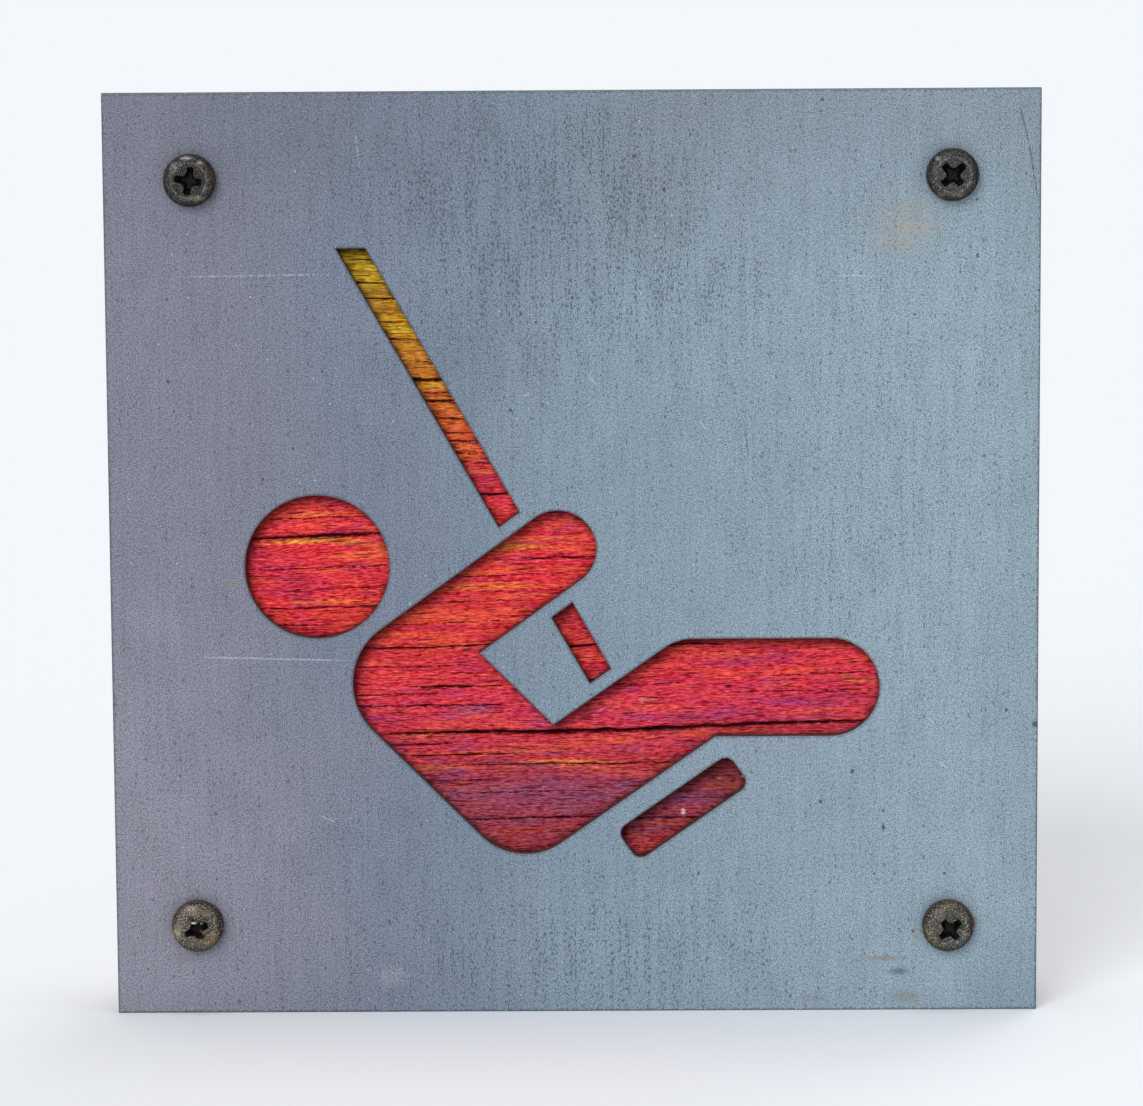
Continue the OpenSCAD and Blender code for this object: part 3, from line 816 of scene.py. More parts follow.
def relief_tree():
    inputs = {
        "Board": "Geometry", "Cracks": "Object", "Crack Depth": CRACK_DEPTH, "Ridge Depth": RIDGE_DEPTH,
        "Fibre Depth": FIBRE_DEPTH, "Board Top": 145.0, "Paint": "Material",
    }
    tree, given, gives = group("weathered_grain", "GeometryNodeTree", inputs, {"Board": "Geometry"})
    tree.is_modifier = True
    place = in_mm(tree, put(tree, "GeometryNodeInputPosition").outputs[0])
    x, _, z = split(tree, place)
    ridge = noise(tree, times(tree, place, (0.022, 0.95, 0.95)), 1.0, detail=2)
    ridge = fade(tree, ridge, 0.35, 0.68)
    fibre = noise(tree, times(tree, place, (0.12, 5.0, 5.0)), 1.0, detail=3)
    wobble = noise(tree, times(tree, place, (0.35, 0.35, 0.35)), 1.0, detail=2)
    ragged = noise(tree, times(tree, place, (1.1, 2.5, 2.5)), 1.0, detail=2)
    chains = put(tree, "GeometryNodeObjectInfo", {"Object": given["Cracks"]}).outputs["Geometry"]
    shift = calc(tree, "MULTIPLY_ADD", wobble, 0.6 * MM, -0.3 * MM)
    probe = plus(tree, put(tree, "GeometryNodeInputPosition").outputs[0], join(tree, 0.0, 0.0, shift))
    near = put(tree, "GeometryNodeProximity", {0: chains, "Sample Position": probe}, target_element="EDGES")
    index = put(tree, "GeometryNodeSampleNearest", {0: chains, "Sample Position": probe}, domain="POINT")
    half_gap = put(tree, "GeometryNodeInputNamedAttribute", {"Name": "half_gap"}, data_type="FLOAT")
    sampled = {"Geometry": chains, "Value": half_gap.outputs[0], "Index": index.outputs[0]}
    gap = put(tree, "GeometryNodeSampleIndex", sampled, data_type="FLOAT", domain="POINT").outputs[0]
    gap = product(tree, gap, product(tree, ragged, 1.7))
    away = calc(tree, "DIVIDE", near.outputs["Distance"], MM)
    gap = calc(tree, "MAXIMUM", gap, 0.015)
    crack = fade(tree, calc(tree, "DIVIDE", away, gap), 1.25, 0.35)
    crack_depth = product(tree, crack, calc(tree, "MULTIPLY_ADD", gap, given["Crack Depth"], 0.1))
    depth = product(tree, calc(tree, "SUBTRACT", 1.0, ridge), given["Ridge Depth"])
    depth = calc(tree, "MULTIPLY_ADD", fibre, given["Fibre Depth"], depth)
    depth = calc(tree, "MAXIMUM", depth, 0.0)
    depth = calc(tree, "ADD", depth, crack_depth)
    normal = put(tree, "GeometryNodeInputNormal").outputs[0]
    sink = times(tree, normal, triple(tree, product(tree, depth, -MM)))
    facing = product(tree, split(tree, normal)[1], -1.0)
    skin = given["Board"]
    stored = (("crack_away", "FLOAT", away), ("crack_gap", "FLOAT", gap), ("front", "FLOAT", facing),
              ("grain", "FLOAT_VECTOR", place))
    for label, kind, value in stored:
        kept = {"Geometry": skin, "Name": label, "Value": value}
        skin = put(tree, "GeometryNodeStoreNamedAttribute", kept, data_type=kind, domain="POINT").outputs[0]
    skin = moved(tree, skin, "Offset", sink)
    # The bend is the formula of grain_bend(), in nodes
    span = {"Value": z, "From Min": RISE_FROM, "From Max": RISE_FULL}
    rise = put(tree, "ShaderNodeMapRange", span).outputs[0]
    top_gap = calc(tree, "SUBTRACT", given["Board Top"], z)
    still = [calc(tree, "DIVIDE", side, STILL_MARGIN, clamp=True) for side in (z, top_gap)]
    bend = product(tree, product(tree, x, GRAIN_RISE), rise)
    for size, length, height in (LONG_WAVE, SHORT_WAVE):
        angle = calc(tree, "ADD", calc(tree, "DIVIDE", x, length), calc(tree, "DIVIDE", z, height))
        bend = calc(tree, "MULTIPLY_ADD", calc(tree, "SINE", angle), size, bend)
    bend = product(tree, bend, product(tree, *still))
    lift = join(tree, 0.0, 0.0, product(tree, bend, MM))
    return end_tree(tree, moved(tree, skin, "Offset", lift), given["Paint"], gives)


def add_tree(piece, tree, inputs):
    """Adds a Geometry Nodes modifier and sets its inputs by their sockets' identifiers."""
    modifier = piece.modifiers.new(tree.name, "NODES")
    modifier.node_group = tree
    for item in tree.interface.items_tree:
        if item.item_type == "SOCKET" and item.in_out == "INPUT" and item.name in inputs:
            modifier[item.identifier] = inputs[item.name]
    return modifier


painted_wood = bpy.data.materials.new("painted_wood")
cracks = crack_lines("crack_lines", front_lines, board_low[1], seed=5)
back_cracks = crack_lines("back_crack_lines", BACK_CRACKS, board_high[1], seed=6)
with bpy.context.temp_override(active_object=cracks, selected_editable_objects=[cracks, back_cracks]):
    bpy.ops.object.join()
add_tree(board, relief_tree(), {"Cracks": cracks, "Board Top": float(board_high[2]), "Paint": painted_wood})
baked(board)
bpy.data.objects.remove(cracks)
print("attributes on the board:", [a.name for a in board.data.attributes])

# %% [markdown]
# ## The board: holes and pockets
# The measured board already has the screws' pilot holes, the hangers' recesses and the pockets behind
# their keyholes. Cutting them again would repeat their sizes here. The carved board lies just inside the
# measured one, so the two are intersected: the relief stays, and every hole comes out of the measured node.
# The walls of the holes are new and know nothing of cracks or paint, so they are marked as bare wood.

# %% Cut the holes by intersecting with the measured board
def intersect_with(piece, node):
    cutter = merged_copy(node, "cutter")
    modifier = piece.modifiers.new("holes", "BOOLEAN")
    modifier.operation = "INTERSECT"
    modifier.solver = "MANIFOLD"
    modifier.object = cutter
    baked(piece)
    bpy.data.objects.remove(cutter)
    return piece


def stored_values(piece, name, field, width):
    """One attribute of a piece, one row per vertex."""
    data = piece.data.attributes[name].data
    values = np.empty(len(data) * width)
    data.foreach_get(field, values)
    return values.reshape(-1, width)


def whole_wood_in_cuts(piece):
    """The walls of the cuts bring no values of their own, so they get those of bare, uncracked wood."""
    gaps = stored_values(piece, "crack_gap", "value", 1)
    cut = gaps[:, 0] == 0
    grain = stored_values(piece, "grain", "vector", 3)
    grain[cut] = stored_values(piece, "position", "vector", 3)[cut] / MM
    piece.data.attributes["grain"].data.foreach_set("vector", grain.ravel())
    for name, bare in (("crack_gap", 0.1), ("crack_away", 9.0), ("front", 0.0)):
        values = stored_values(piece, name, "value", 1)
        values[cut] = bare
        piece.data.attributes[name].data.foreach_set("value", values.ravel())
    return np.count_nonzero(cut)


intersect_with(board, "backing_board")
print("after the cut:", len(board.data.vertices), "vertices,", [a.name for a in board.data.attributes])
print(whole_wood_in_cuts(board), "vertices on the walls of holes and pockets")

# %% [markdown]
# ## The screws: one tree that turns them
# A screw is a turned shape with a thread rolled into it and a cross pressed into its head. Eight screws
# share one Geometry Nodes tree: it bends a grid of points round the axis along a drawn profile, raises the
# thread as a spiral, and presses four tapered arms out of the head. Each arm has its own reach, because the
# recesses on this sign are chewed, and no two of them look the same. A switch adds the sliver of steel that
# hangs over one recess. A lathed curve with a separate thread would need the same Boolean work without
# being one skin.

# %% Turn a screw from its profile
SKIN_GAP = 0.03
AROUND = 120
SCREW_STEP = 0.13
ARM_FOOT = 0.5
CUTTER_OVER = 1.12
CHIP_SIZE = (1.5, 0.34, 0.7)
CHIP_PLACE = (-0.5, 0.72, -0.5)
CHIP_TURN = (0.0, 0.0, -0.3)
FLANK = 0.24
ARMS = ("Right Reach", "Upper Reach", "Left Reach", "Lower Reach")


def profile_line(name, corners, step):
    """The turned outline, as (radius, height) in mm, with a point every step."""
    points = []
    for (r0, h0), (r1, h1) in zip(corners, corners[1:]):
        count = max(1, round(math.hypot(r1 - r0, h1 - h0) / step))
        points += [(r0 + (r1 - r0) * i / count, h0 + (h1 - h0) * i / count) for i in range(count)]
    points.append(corners[-1])
    mesh = bpy.data.meshes.new(name)
    mesh.from_pydata([(r, 0, h) for r, h in points], [(i, i + 1) for i in range(len(points) - 1)], [])
    return placed(name, mesh)


def round_shoulder(radius, top, bend, count=9):
    """The rounded edge between a flat top and an upright side."""
    turn = [math.pi / 2 * i / (count - 1) for i in range(count)]
    return [(radius - bend + bend * math.sin(a), top - bend + bend * math.cos(a)) for a in turn]


def thread_height(tree, height, angle, given):
    """How far the spiral stands out from the core at a place on it."""
    climb = calc(tree, "SUBTRACT", calc(tree, "DIVIDE", height, given["Pitch"]),
                 calc(tree, "DIVIDE", angle, 2 * math.pi))
    offset = calc(tree, "ABSOLUTE", calc(tree, "SUBTRACT", calc(tree, "FRACT", climb), 0.5))
    ridge = calc(tree, "SUBTRACT", 1.0, calc(tree, "DIVIDE", offset, FLANK), clamp=True)
    below_neck = calc(tree, "SUBTRACT", given["Thread Top"], height)
    below_neck = calc(tree, "DIVIDE", below_neck, given["Pitch"], clamp=True)
    above_tip = calc(tree, "SUBTRACT", height, given["Thread Foot"])
    above_tip = calc(tree, "DIVIDE", above_tip, given["Pitch"], clamp=True)
    grown = product(tree, product(tree, below_neck, above_tip), ridge)
    return product(tree, grown, given["Thread Height"])


def recess_arm(tree, reach, quarter, given):
    """One tapered arm of the cross, as a wedge that stands over the head."""
    block = put(tree, "GeometryNodeMeshCube", {"Size": (1, 1, 1)}).outputs[0]
    x, y, z = split(tree, put(tree, "GeometryNodeInputPosition").outputs[0])
    height = calc(tree, "ADD", z, 0.5)
    narrow = calc(tree, "MULTIPLY_ADD", height, 1 - ARM_FOOT, ARM_FOOT)
    slim = calc(tree, "MULTIPLY_ADD", height, 0.3, 0.7)
    along = product(tree, calc(tree, "ADD", x, 0.5), product(tree, narrow, reach))
    tip = calc(tree, "MULTIPLY_ADD", x, -0.3, 0.95)
    wide = product(tree, slim, given["Recess Width"])
    across = product(tree, product(tree, y, tip), wide)
    rise = product(tree, calc(tree, "MULTIPLY_ADD", height, CUTTER_OVER, -1.0), given["Recess Depth"])
    spot = join(tree, along, across, calc(tree, "ADD", rise, given["Head Top"]))
    angle = calc(tree, "ADD", given["Turn"], quarter * math.pi / 2)
    turned = put(tree, "ShaderNodeVectorRotate", {"Vector": spot, "Angle": angle}).outputs[0]
    spot = plus(tree, turned, given["Recess Shift"])
    return moved(tree, block, "Position", spot)


def screw_tree():
    inputs = {
        "Blank": "Geometry", "Profile": "Object", "Around": AROUND, "Rows": 200, "Pitch": 1.4,
        "Thread Height": 0.6, "Thread Top": -2.4, "Thread Foot": -15.8, "Head Top": 2.6, "Turn": 0.0,
        "Recess Width": 1.15, "Recess Depth": 2.0, "Recess Shift": (0, 0, 0), "Bowl Radius": 1.15,
        "Torn": False, "Chip Place": (0, 0, 0), "Chip Turn": (0, 0, 0), **dict.fromkeys(ARMS, 2.35),
        "Steel": "Material",
    }
    tree, given, gives = group("turned_screw", "GeometryNodeTree", inputs, {"Screw": "Geometry"})
    tree.is_modifier = True
    size = {"Size X": 1.0, "Size Y": 1.0, "Vertices X": given["Around"], "Vertices Y": given["Rows"]}
    grid = put(tree, "GeometryNodeMeshGrid", size).outputs[0]
    u, v, _ = split(tree, put(tree, "GeometryNodeInputPosition").outputs[0])
    outline = put(tree, "GeometryNodeObjectInfo", {"Object": given["Profile"]}).outputs["Geometry"]
    outline = put(tree, "GeometryNodeMeshToCurve", {"Mesh": outline}).outputs[0]
    factor = calc(tree, "ADD", v, 0.5)
    line = put(tree, "GeometryNodeSampleCurve", {"Curves": outline, "Factor": factor}, mode="FACTOR")
    radius, _, height = split(tree, line.outputs["Position"])
    angle = product(tree, calc(tree, "ADD", u, 0.5), -2 * math.pi)
    radius = calc(tree, "ADD", radius, thread_height(tree, height, angle, given))
    ring = join(tree, product(tree, calc(tree, "COSINE", angle), radius),
                product(tree, calc(tree, "SINE", angle), radius), height)
    body = moved(tree, grid, "Position", ring)
    body = put(tree, "GeometryNodeMergeByDistance", {"Geometry": body, "Distance": 0.002}).outputs[0]
    pressed = put(tree, "GeometryNodeMeshBoolean", {0: body}, operation="DIFFERENCE", solver="MANIFOLD")
    for quarter, reach in enumerate(ARMS):
        tree.links.new(recess_arm(tree, given[reach], quarter, given), pressed.inputs[1])
    bowl = {"Vertices": 32, "Side Segments": 1, "Fill Segments": 1, "Radius Top": given["Bowl Radius"],
            "Radius Bottom": 0.25, "Depth": product(tree, given["Recess Depth"], CUTTER_OVER)}
    cone = put(tree, "GeometryNodeMeshCone", bowl).outputs[0]
    floor_height = calc(tree, "SUBTRACT", given["Head Top"], given["Recess Depth"])
    drop = plus(tree, given["Recess Shift"], join(tree, 0.0, 0.0, floor_height))
    tree.links.new(moved(tree, cone, "Offset", drop), pressed.inputs[1])
    # A sliver of steel, torn across one arm by a slipping screwdriver. The voxels join it to the head
    chip = put(tree, "GeometryNodeMeshCube", {"Size": CHIP_SIZE}).outputs[0]
    spot = plus(tree, given["Chip Place"], join(tree, 0.0, 0.0, given["Head Top"]))
    chip = {"Geometry": chip, "Translation": spot, "Rotation": given["Chip Turn"]}
    chip = put(tree, "GeometryNodeTransform", chip).outputs[0]
    both = put(tree, "GeometryNodeJoinGeometry")
    tree.links.new(chip, both.inputs[0])
    tree.links.new(pressed.outputs[0], both.inputs[0])
    choice = put(tree, "GeometryNodeSwitch", input_type="GEOMETRY")
    tree.links.new(given["Torn"], choice.inputs["Switch"])
    tree.links.new(pressed.outputs[0], choice.inputs["False"])
    tree.links.new(both.outputs[0], choice.inputs["True"])
    small = {"Geometry": choice.outputs[0], "Scale": (MM, MM, MM)}
    small = put(tree, "GeometryNodeTransform", small).outputs[0]
    return end_tree(tree, small, given["Steel"], gives)


turned_screw = screw_tree()
print("the screw tree has", len(turned_screw.nodes), "nodes")

# %% [markdown]
# ## The screws: weathered skin
# Rust and a slipping screwdriver take small bites out of a head. Voxels first make one even skin of the
# screw, with its sharp edges a little softened, and a second tree moves that skin inwards: fine pits all
# over, and deeper bites round the recess. Moving inwards only keeps each screw in its own room.

# %% Wear the screws
SCREW_VOXEL = 0.1


def worn_tree():
    inputs = {"Screw": "Geometry", "Pit Depth": 0.05, "Bite Depth": 0.12, "Seed": 0.0, "Steel": "Material"}
    tree, given, gives = group("worn_skin", "GeometryNodeTree", inputs, {"Screw": "Geometry"})
    tree.is_modifier = True
    place = in_mm(tree, put(tree, "GeometryNodeInputPosition").outputs[0])
    x, y, z = split(tree, place)
    own = plus(tree, place, join(tree, given["Seed"], given["Seed"], 0.0))
    pits = fade(tree, noise(tree, own, 2.2, detail=3), 0.52, 0.75)
    bites = fade(tree, noise(tree, own, 0.9, detail=2), 0.48, 0.72)
    radius = vector_calc(tree, "LENGTH", join(tree, x, y, 0.0))
    near_recess = product(tree, fade(tree, radius, 3.9, 1.8), fade(tree, z, 0.2, 1.2))
    depth = product(tree, pits, given["Pit Depth"])
    bitten = product(tree, product(tree, bites, near_recess), given["Bite Depth"])
    depth = product(tree, calc(tree, "ADD", depth, bitten), -MM)
    normal = put(tree, "GeometryNodeInputNormal").outputs[0]
    sink = times(tree, normal, triple(tree, depth))
    return end_tree(tree, moved(tree, given["Screw"], "Offset", sink), given["Steel"], gives)


def make_screw(name, node, outward_y, profile, turned, worn, steel):
    """A screw turned, pressed and worn, then stood where its measured node stands."""
    blank = mesh_object(name, [(0, 0, 0)], [])
    add_tree(blank, turned_screw, {"Profile": profile, "Steel": steel, **turned})
    voxels = blank.modifiers.new("one_skin", "REMESH")
    voxels.mode = "VOXEL"
    voxels.voxel_size = SCREW_VOXEL * MM
    add_tree(blank, worn_skin, {"Steel": steel, **worn})
    baked(blank)
    low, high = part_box(node)
    foot = low.y if outward_y < 0 else high.y
    top = (turned["Head Top"] + SKIN_GAP / 2) * MM
    stand = Matrix.Rotation(-outward_y * math.pi / 2, 4, "X")
    middle = Vector(((low.x + high.x) / 2, foot - outward_y * top, (low.z + high.z) / 2))
    blank.data.transform(Matrix.Translation(middle) @ stand)
    return blank


worn_skin = worn_tree()
print("the wear tree has", len(worn_skin.nodes), "nodes")

# %% [markdown]
# ## The four face screws
# These are pan heads with a cross recess, 8.5 mm across. Each cross stands at its own angle, read from the
# real sign. The two upper heads are dark and nearly whole. The lower left one is rusty, with one arm torn
# open, and the lower right one is worn, with its recess off the middle.

# %% Build the face screws
PAN_TOP = 2.6 - SKIN_GAP
PAN_R = 4.25 - SKIN_GAP
PAN_SHOULDER = 1.35
PAN_BOWL_R = 1.3
FACE_CORE, FACE_THREAD, FACE_NECK_R = 1.5, 2.1 - SKIN_GAP, 1.65
FACE_NECK, FACE_LENGTH, FACE_PITCH = 2.4, 16.0 - SKIN_GAP, 1.4
# Turn of the cross, reaches of its four arms before that turn, width, shift, pit depth and bite depth
FACE_SCREWS = {
    "screw_top_left": (81, (2.4, 2.55, 2.5, 2.2), 1.3, (0, 0), 0.09, 0.08),
    "screw_top_right": (42, (2.65, 2.5, 2.45, 2.2), 1.35, (0, 0), 0.09, 0.1),
    "screw_bottom_left": (23, (2.2, 1.75, 2.2, 1.6), 1.2, (-0.1, -0.4), 0.15, 0.26),
    "screw_bottom_right": (40, (2.4, 2.0, 2.25, 2.1), 1.25, (0.25, -0.45), 0.13, 0.2),
}

pan_profile = profile_line(
    "pan_profile",
    [(0, PAN_TOP)] + round_shoulder(PAN_R, PAN_TOP, PAN_SHOULDER)
    + [(PAN_R, 0.2), (PAN_R - 0.2, -SKIN_GAP), (FACE_NECK_R, -SKIN_GAP), (FACE_NECK_R, -FACE_NECK),
       (FACE_CORE, -FACE_NECK - 0.3), (FACE_CORE, -FACE_LENGTH + 3 * FACE_PITCH), (0, -FACE_LENGTH)],
    SCREW_STEP,
)
screws = {}
for seed, (node, (degrees, reaches, width, shift, pits, bites)) in enumerate(FACE_SCREWS.items()):
    steel = bpy.data.materials.new(node + "_steel")
    turned = {"Turn": math.radians(degrees), "Recess Width": width, "Head Top": PAN_TOP,
              "Recess Shift": (*shift, 0.0), "Bowl Radius": PAN_BOWL_R, "Pitch": FACE_PITCH,
              "Thread Height": FACE_THREAD - FACE_CORE, "Thread Top": -FACE_NECK,
              "Thread Foot": -FACE_LENGTH + 0.2, "Torn": node == "screw_bottom_left",
              "Chip Place": CHIP_PLACE, "Chip Turn": CHIP_TURN, **dict(zip(ARMS, reaches))}
    worn = {"Pit Depth": pits, "Bite Depth": bites, "Seed": 10.0 * seed}
    piece = make_screw("worn_" + node, node, -1, pan_profile, turned, worn, steel)
    screws[node] = (piece, steel)
    print(piece.name, "has", len(piece.data.vertices), "vertices")
bpy.data.objects.remove(pan_profile)

# %% [markdown]
# ## The hangers' screws
# The back is not to be seen in the photograph, so the hangers are common hardware: two keyhole plates let
# into the board, each held by two small countersunk screws. The screws come from the same tree as the face
# screws, with a smaller profile, and they are newer and less worn.

# %% Build the hangers' screws
SMALL_TOP = -SKIN_GAP
SMALL_HEAD_R, SMALL_HEAD_H = 2.9 - SKIN_GAP, 1.4
SMALL_CORE, SMALL_THREAD, SMALL_NECK_R = 1.05, 1.5 - SKIN_GAP, 1.2
SMALL_NECK, SMALL_LENGTH, SMALL_PITCH = 1.6, 12.0 - SKIN_GAP, 1.2
HANGER_SCREWS = {
    "hanger_screw_left_top": 12,
    "hanger_screw_left_bottom": 70,
    "hanger_screw_right_top": 33,
    "hanger_screw_right_bottom": 52,
}

small_profile = profile_line(
    "small_profile",
    [(0, SMALL_TOP), (SMALL_HEAD_R - 0.12, SMALL_TOP), (SMALL_HEAD_R, SMALL_TOP - 0.12),
     (SMALL_NECK_R, -SMALL_HEAD_H - 0.2), (SMALL_NECK_R, -SMALL_HEAD_H - SMALL_NECK),
     (SMALL_CORE, -SMALL_HEAD_H - SMALL_NECK - 0.2), (SMALL_CORE, -SMALL_LENGTH + 3 * SMALL_PITCH),
     (0, -SMALL_LENGTH)],
    SCREW_STEP,
)
small_turned = {
    "Recess Width": 0.8, "Recess Depth": 1.2, "Bowl Radius": 0.75, "Head Top": SMALL_TOP,
    "Pitch": SMALL_PITCH, "Thread Height": SMALL_THREAD - SMALL_CORE,
    "Thread Top": -SMALL_HEAD_H - SMALL_NECK, "Thread Foot": -SMALL_LENGTH + 0.2,
    **dict.fromkeys(ARMS, 1.5),
}
for seed, (node, degrees) in enumerate(HANGER_SCREWS.items()):
    turned = {"Turn": math.radians(degrees), **small_turned}
    worn = {"Pit Depth": 0.015, "Bite Depth": 0.03, "Seed": 50.0 + 10.0 * seed}
    steel = bpy.data.materials.new(node + "_steel")
    piece = make_screw("small_" + node, node, 1, small_profile, turned, worn, steel)
    screws[node] = (piece, steel)
    print(piece.name, "has", len(piece.data.vertices), "vertices")
bpy.data.objects.remove(small_profile)

# %% [markdown]
# ## The hanger plates
# The plates are stamped from sheet steel, so the measured shape is right as it is, apart from its edges: a
# stamped edge is slightly rounded. The measured node is made one skin, its flat faces are joined, and a
# narrow bevel rounds each sharp edge.

# %% Build the hanger plates
STAMPED_ROUND = 0.15
SHARP_TURN = math.radians(28)


def stamped_plate(name, node):
    plate = merged_copy(node, name)
    skin = bmesh.new()
    skin.from_mesh(plate.data)
    bmesh.ops.dissolve_limit(skin, angle_limit=math.radians(1), verts=skin.verts, edges=skin.edges)
    skin.to_mesh(plate.data)
    skin.free()
    bevel = plate.modifiers.new("stamped_edge", "BEVEL")
    bevel.width = STAMPED_ROUND * MM
    bevel.segments = 2
    bevel.angle_limit = SHARP_TURN
    baked(plate)
    return plate


plates = {side: stamped_plate("stamped_plate_" + side, "hanger_plate_" + side) for side in ("left", "right")}
for side, plate in plates.items():
    print(plate.name, len(plate.data.polygons), "faces")

# %% [markdown]
# ## Shared effects for the materials
# The sheet, the screws, the hangers and the board all show the same few effects at different sizes: dots,
# strokes, ragged patches, rust and worn edges. Each effect is one shader node group that gives only a mask,
# a colour or a height, so a material decides for itself what to do with it. Painted image maps would show
# one sign only, and blur close up.

# %% Dots, strokes and patches
def dots_group():
    """Round dots, one in some of the cells of a pattern on the sign's face."""
    inputs = {"Face Place": "Vector", "Cells per mm": 1.0, "Size": 0.2, "Share": 0.3, "Softness": 0.5}
    tree, given, gives = group("dots", "ShaderNodeTree", inputs, {"Mask": "Float"})
    cells = {"Vector": given["Face Place"], "Scale": given["Cells per mm"]}
    voronoi = put(tree, "ShaderNodeTexVoronoi", cells, voronoi_dimensions="2D").outputs
    chosen, sized, _ = split(tree, voronoi["Color"])
    radius = product(tree, calc(tree, "MULTIPLY_ADD", sized, 0.8, 0.3), given["Size"])
    radius = product(tree, radius, given["Cells per mm"])
    inner = product(tree, radius, given["Softness"])
    dot = fade(tree, voronoi["Distance"], radius, inner)
    there = calc(tree, "LESS_THAN", chosen, given["Share"])
    tree.links.new(product(tree, dot, there), gives["Mask"])
    return tree


def stroke_group():
    """A straight scratch between two places on the face. Wear, from 0 to 1, breaks it where it is high."""
    inputs = {
        "Face Place": "Vector", "Start": (0, 0, 0), "End": (1, 0, 0), "Width": 0.2, "Wear": 0.0,
        "Broken": 0.5,
    }
    tree, given, gives = group("stroke", "ShaderNodeTree", inputs, {"Mask": "Float"})
    way = vector_calc(tree, "SUBTRACT", given["End"], given["Start"])
    rest = vector_calc(tree, "SUBTRACT", given["Face Place"], given["Start"])
    along = vector_calc(tree, "DOT_PRODUCT", rest, way)
    whole = vector_calc(tree, "DOT_PRODUCT", way, way)
    share = calc(tree, "DIVIDE", along, whole, clamp=True)
    nearest = times(tree, way, triple(tree, share))
    gap = vector_calc(tree, "DISTANCE", rest, nearest)
    taper = fade(tree, calc(tree, "ABSOLUTE", calc(tree, "SUBTRACT", share, 0.5)), 0.5, 0.3, 0.25, 1.0)
    line = fade(tree, calc(tree, "DIVIDE", gap, product(tree, given["Width"], taper)), 0.6, 0.2)
    lost = product(tree, given["Broken"], fade(tree, given["Wear"], 0.44, 0.54))
    tree.links.new(product(tree, line, calc(tree, "SUBTRACT", 1.0, lost)), gives["Mask"])
    return tree


def patch_group():
    """An oval with a ragged edge. Cloud, around 0.5, is the noise that makes it ragged."""
    inputs = {"Face Place": "Vector", "Middle": (0, 0, 0), "Reach": (5, 5, 1), "Cloud": 0.5, "Ragged": 0.6}
    tree, given, gives = group("patch", "ShaderNodeTree", inputs, {"Mask": "Float"})
    rest = vector_calc(tree, "SUBTRACT", given["Face Place"], given["Middle"])
    far = vector_calc(tree, "LENGTH", vector_calc(tree, "DIVIDE", rest, given["Reach"]))
    far = swung(tree, far, given["Cloud"], product(tree, given["Ragged"], 4.0))
    tree.links.new(fade(tree, far, 1.1, 0.2), gives["Mask"])
    return tree


def face_place(tree, place):
    """The place on the sign's face: across, up, and no depth."""
    x, _, z = split(tree, place)
    return join(tree, x, z, 0.0)


def add_patches(tree, tone, where, cloud, patches):
    """Lays tinted patches over a colour, each as (middle, reach, raggedness, tint, strength)."""
    for middle, reach, ragged, tint, strength in patches:
        sockets = {"Face Place": where, "Middle": (*middle, 0), "Reach": (*reach, 1), "Cloud": cloud,
                   "Ragged": ragged}
        tone = mix(tree, product(tree, use(tree, patch, sockets)[0], strength), tone, tint)
    return tone


def strokes(tree, where, wear, lines):
    """One mask for a list of strokes, each as (start, end, width, how broken)."""
    total = 0.0
    for start, end, width, broken in lines:
        sockets = {"Face Place": where, "Start": (*start, 0), "End": (*end, 0), "Width": width * 2,
                   "Wear": wear, "Broken": broken}
        total = calc(tree, "MAXIMUM", use(tree, stroke, sockets)[0], total)
    return total


dots = dots_group()
stroke = stroke_group()
patch = patch_group()
print("effects:", dots.name, stroke.name, patch.name)

# %% [markdown]
# Rust starts as small spots that grow together, is orange where it is young and dark brown where it is
# old, and stands a little above the metal. Worn edges lose their coating in a line of uneven width. Both
# depend on noise of two sizes, so the edge of every spot is ragged.

# %% Rust and worn edges
def rust_group():
    inputs = {"Place": "Vector", "Amount": 0.3, "Grain": 1.0}
    outputs = {"Mask": "Float", "Color": "Color", "Height": "Float"}
    tree, given, gives = group("rust", "ShaderNodeTree", inputs, outputs)
    broad = noise(tree, given["Place"], given["Grain"], detail=4, roughness=0.6)
    fine = noise(tree, given["Place"], product(tree, given["Grain"], 5.0), detail=3)
    both = calc(tree, "MULTIPLY_ADD", fine, 0.35, product(tree, broad, 0.65))
    limit = calc(tree, "MULTIPLY_ADD", given["Amount"], -0.45, 0.72)
    over = calc(tree, "SUBTRACT", both, limit)
    mask = fade(tree, over, 0.0, 0.05)
    tone = calc(tree, "MULTIPLY_ADD", over, 3.0, product(tree, fine, 0.6))
    shade = ramp(tree, tone, [(0.1, "3a2a22"), (0.35, "5c3a24"), (0.55, "8a5a34"), (0.8, "a9713f")])
    tree.links.new(mask, gives["Mask"])
    tree.links.new(shade, gives["Color"])
    tree.links.new(product(tree, mask, fine), gives["Height"])
    return tree


def worn_edge_group():
    inputs = {"Uneven": 0.5, "Edge Distance": 1.0, "Width": 0.3}
    tree, given, gives = group("worn_edge", "ShaderNodeTree", inputs, {"Mask": "Float"})
    uneven = calc(tree, "MULTIPLY_ADD", given["Uneven"], 2.4, -0.45)
    width = product(tree, given["Width"], uneven)
    width = calc(tree, "MAXIMUM", width, 0.02)
    share = calc(tree, "DIVIDE", given["Edge Distance"], width)
    tree.links.new(fade(tree, share, 1.2, 0.5), gives["Mask"])
    return tree


rust = rust_group()
worn_edge = worn_edge_group()
print("effects:", rust.name, worn_edge.name)
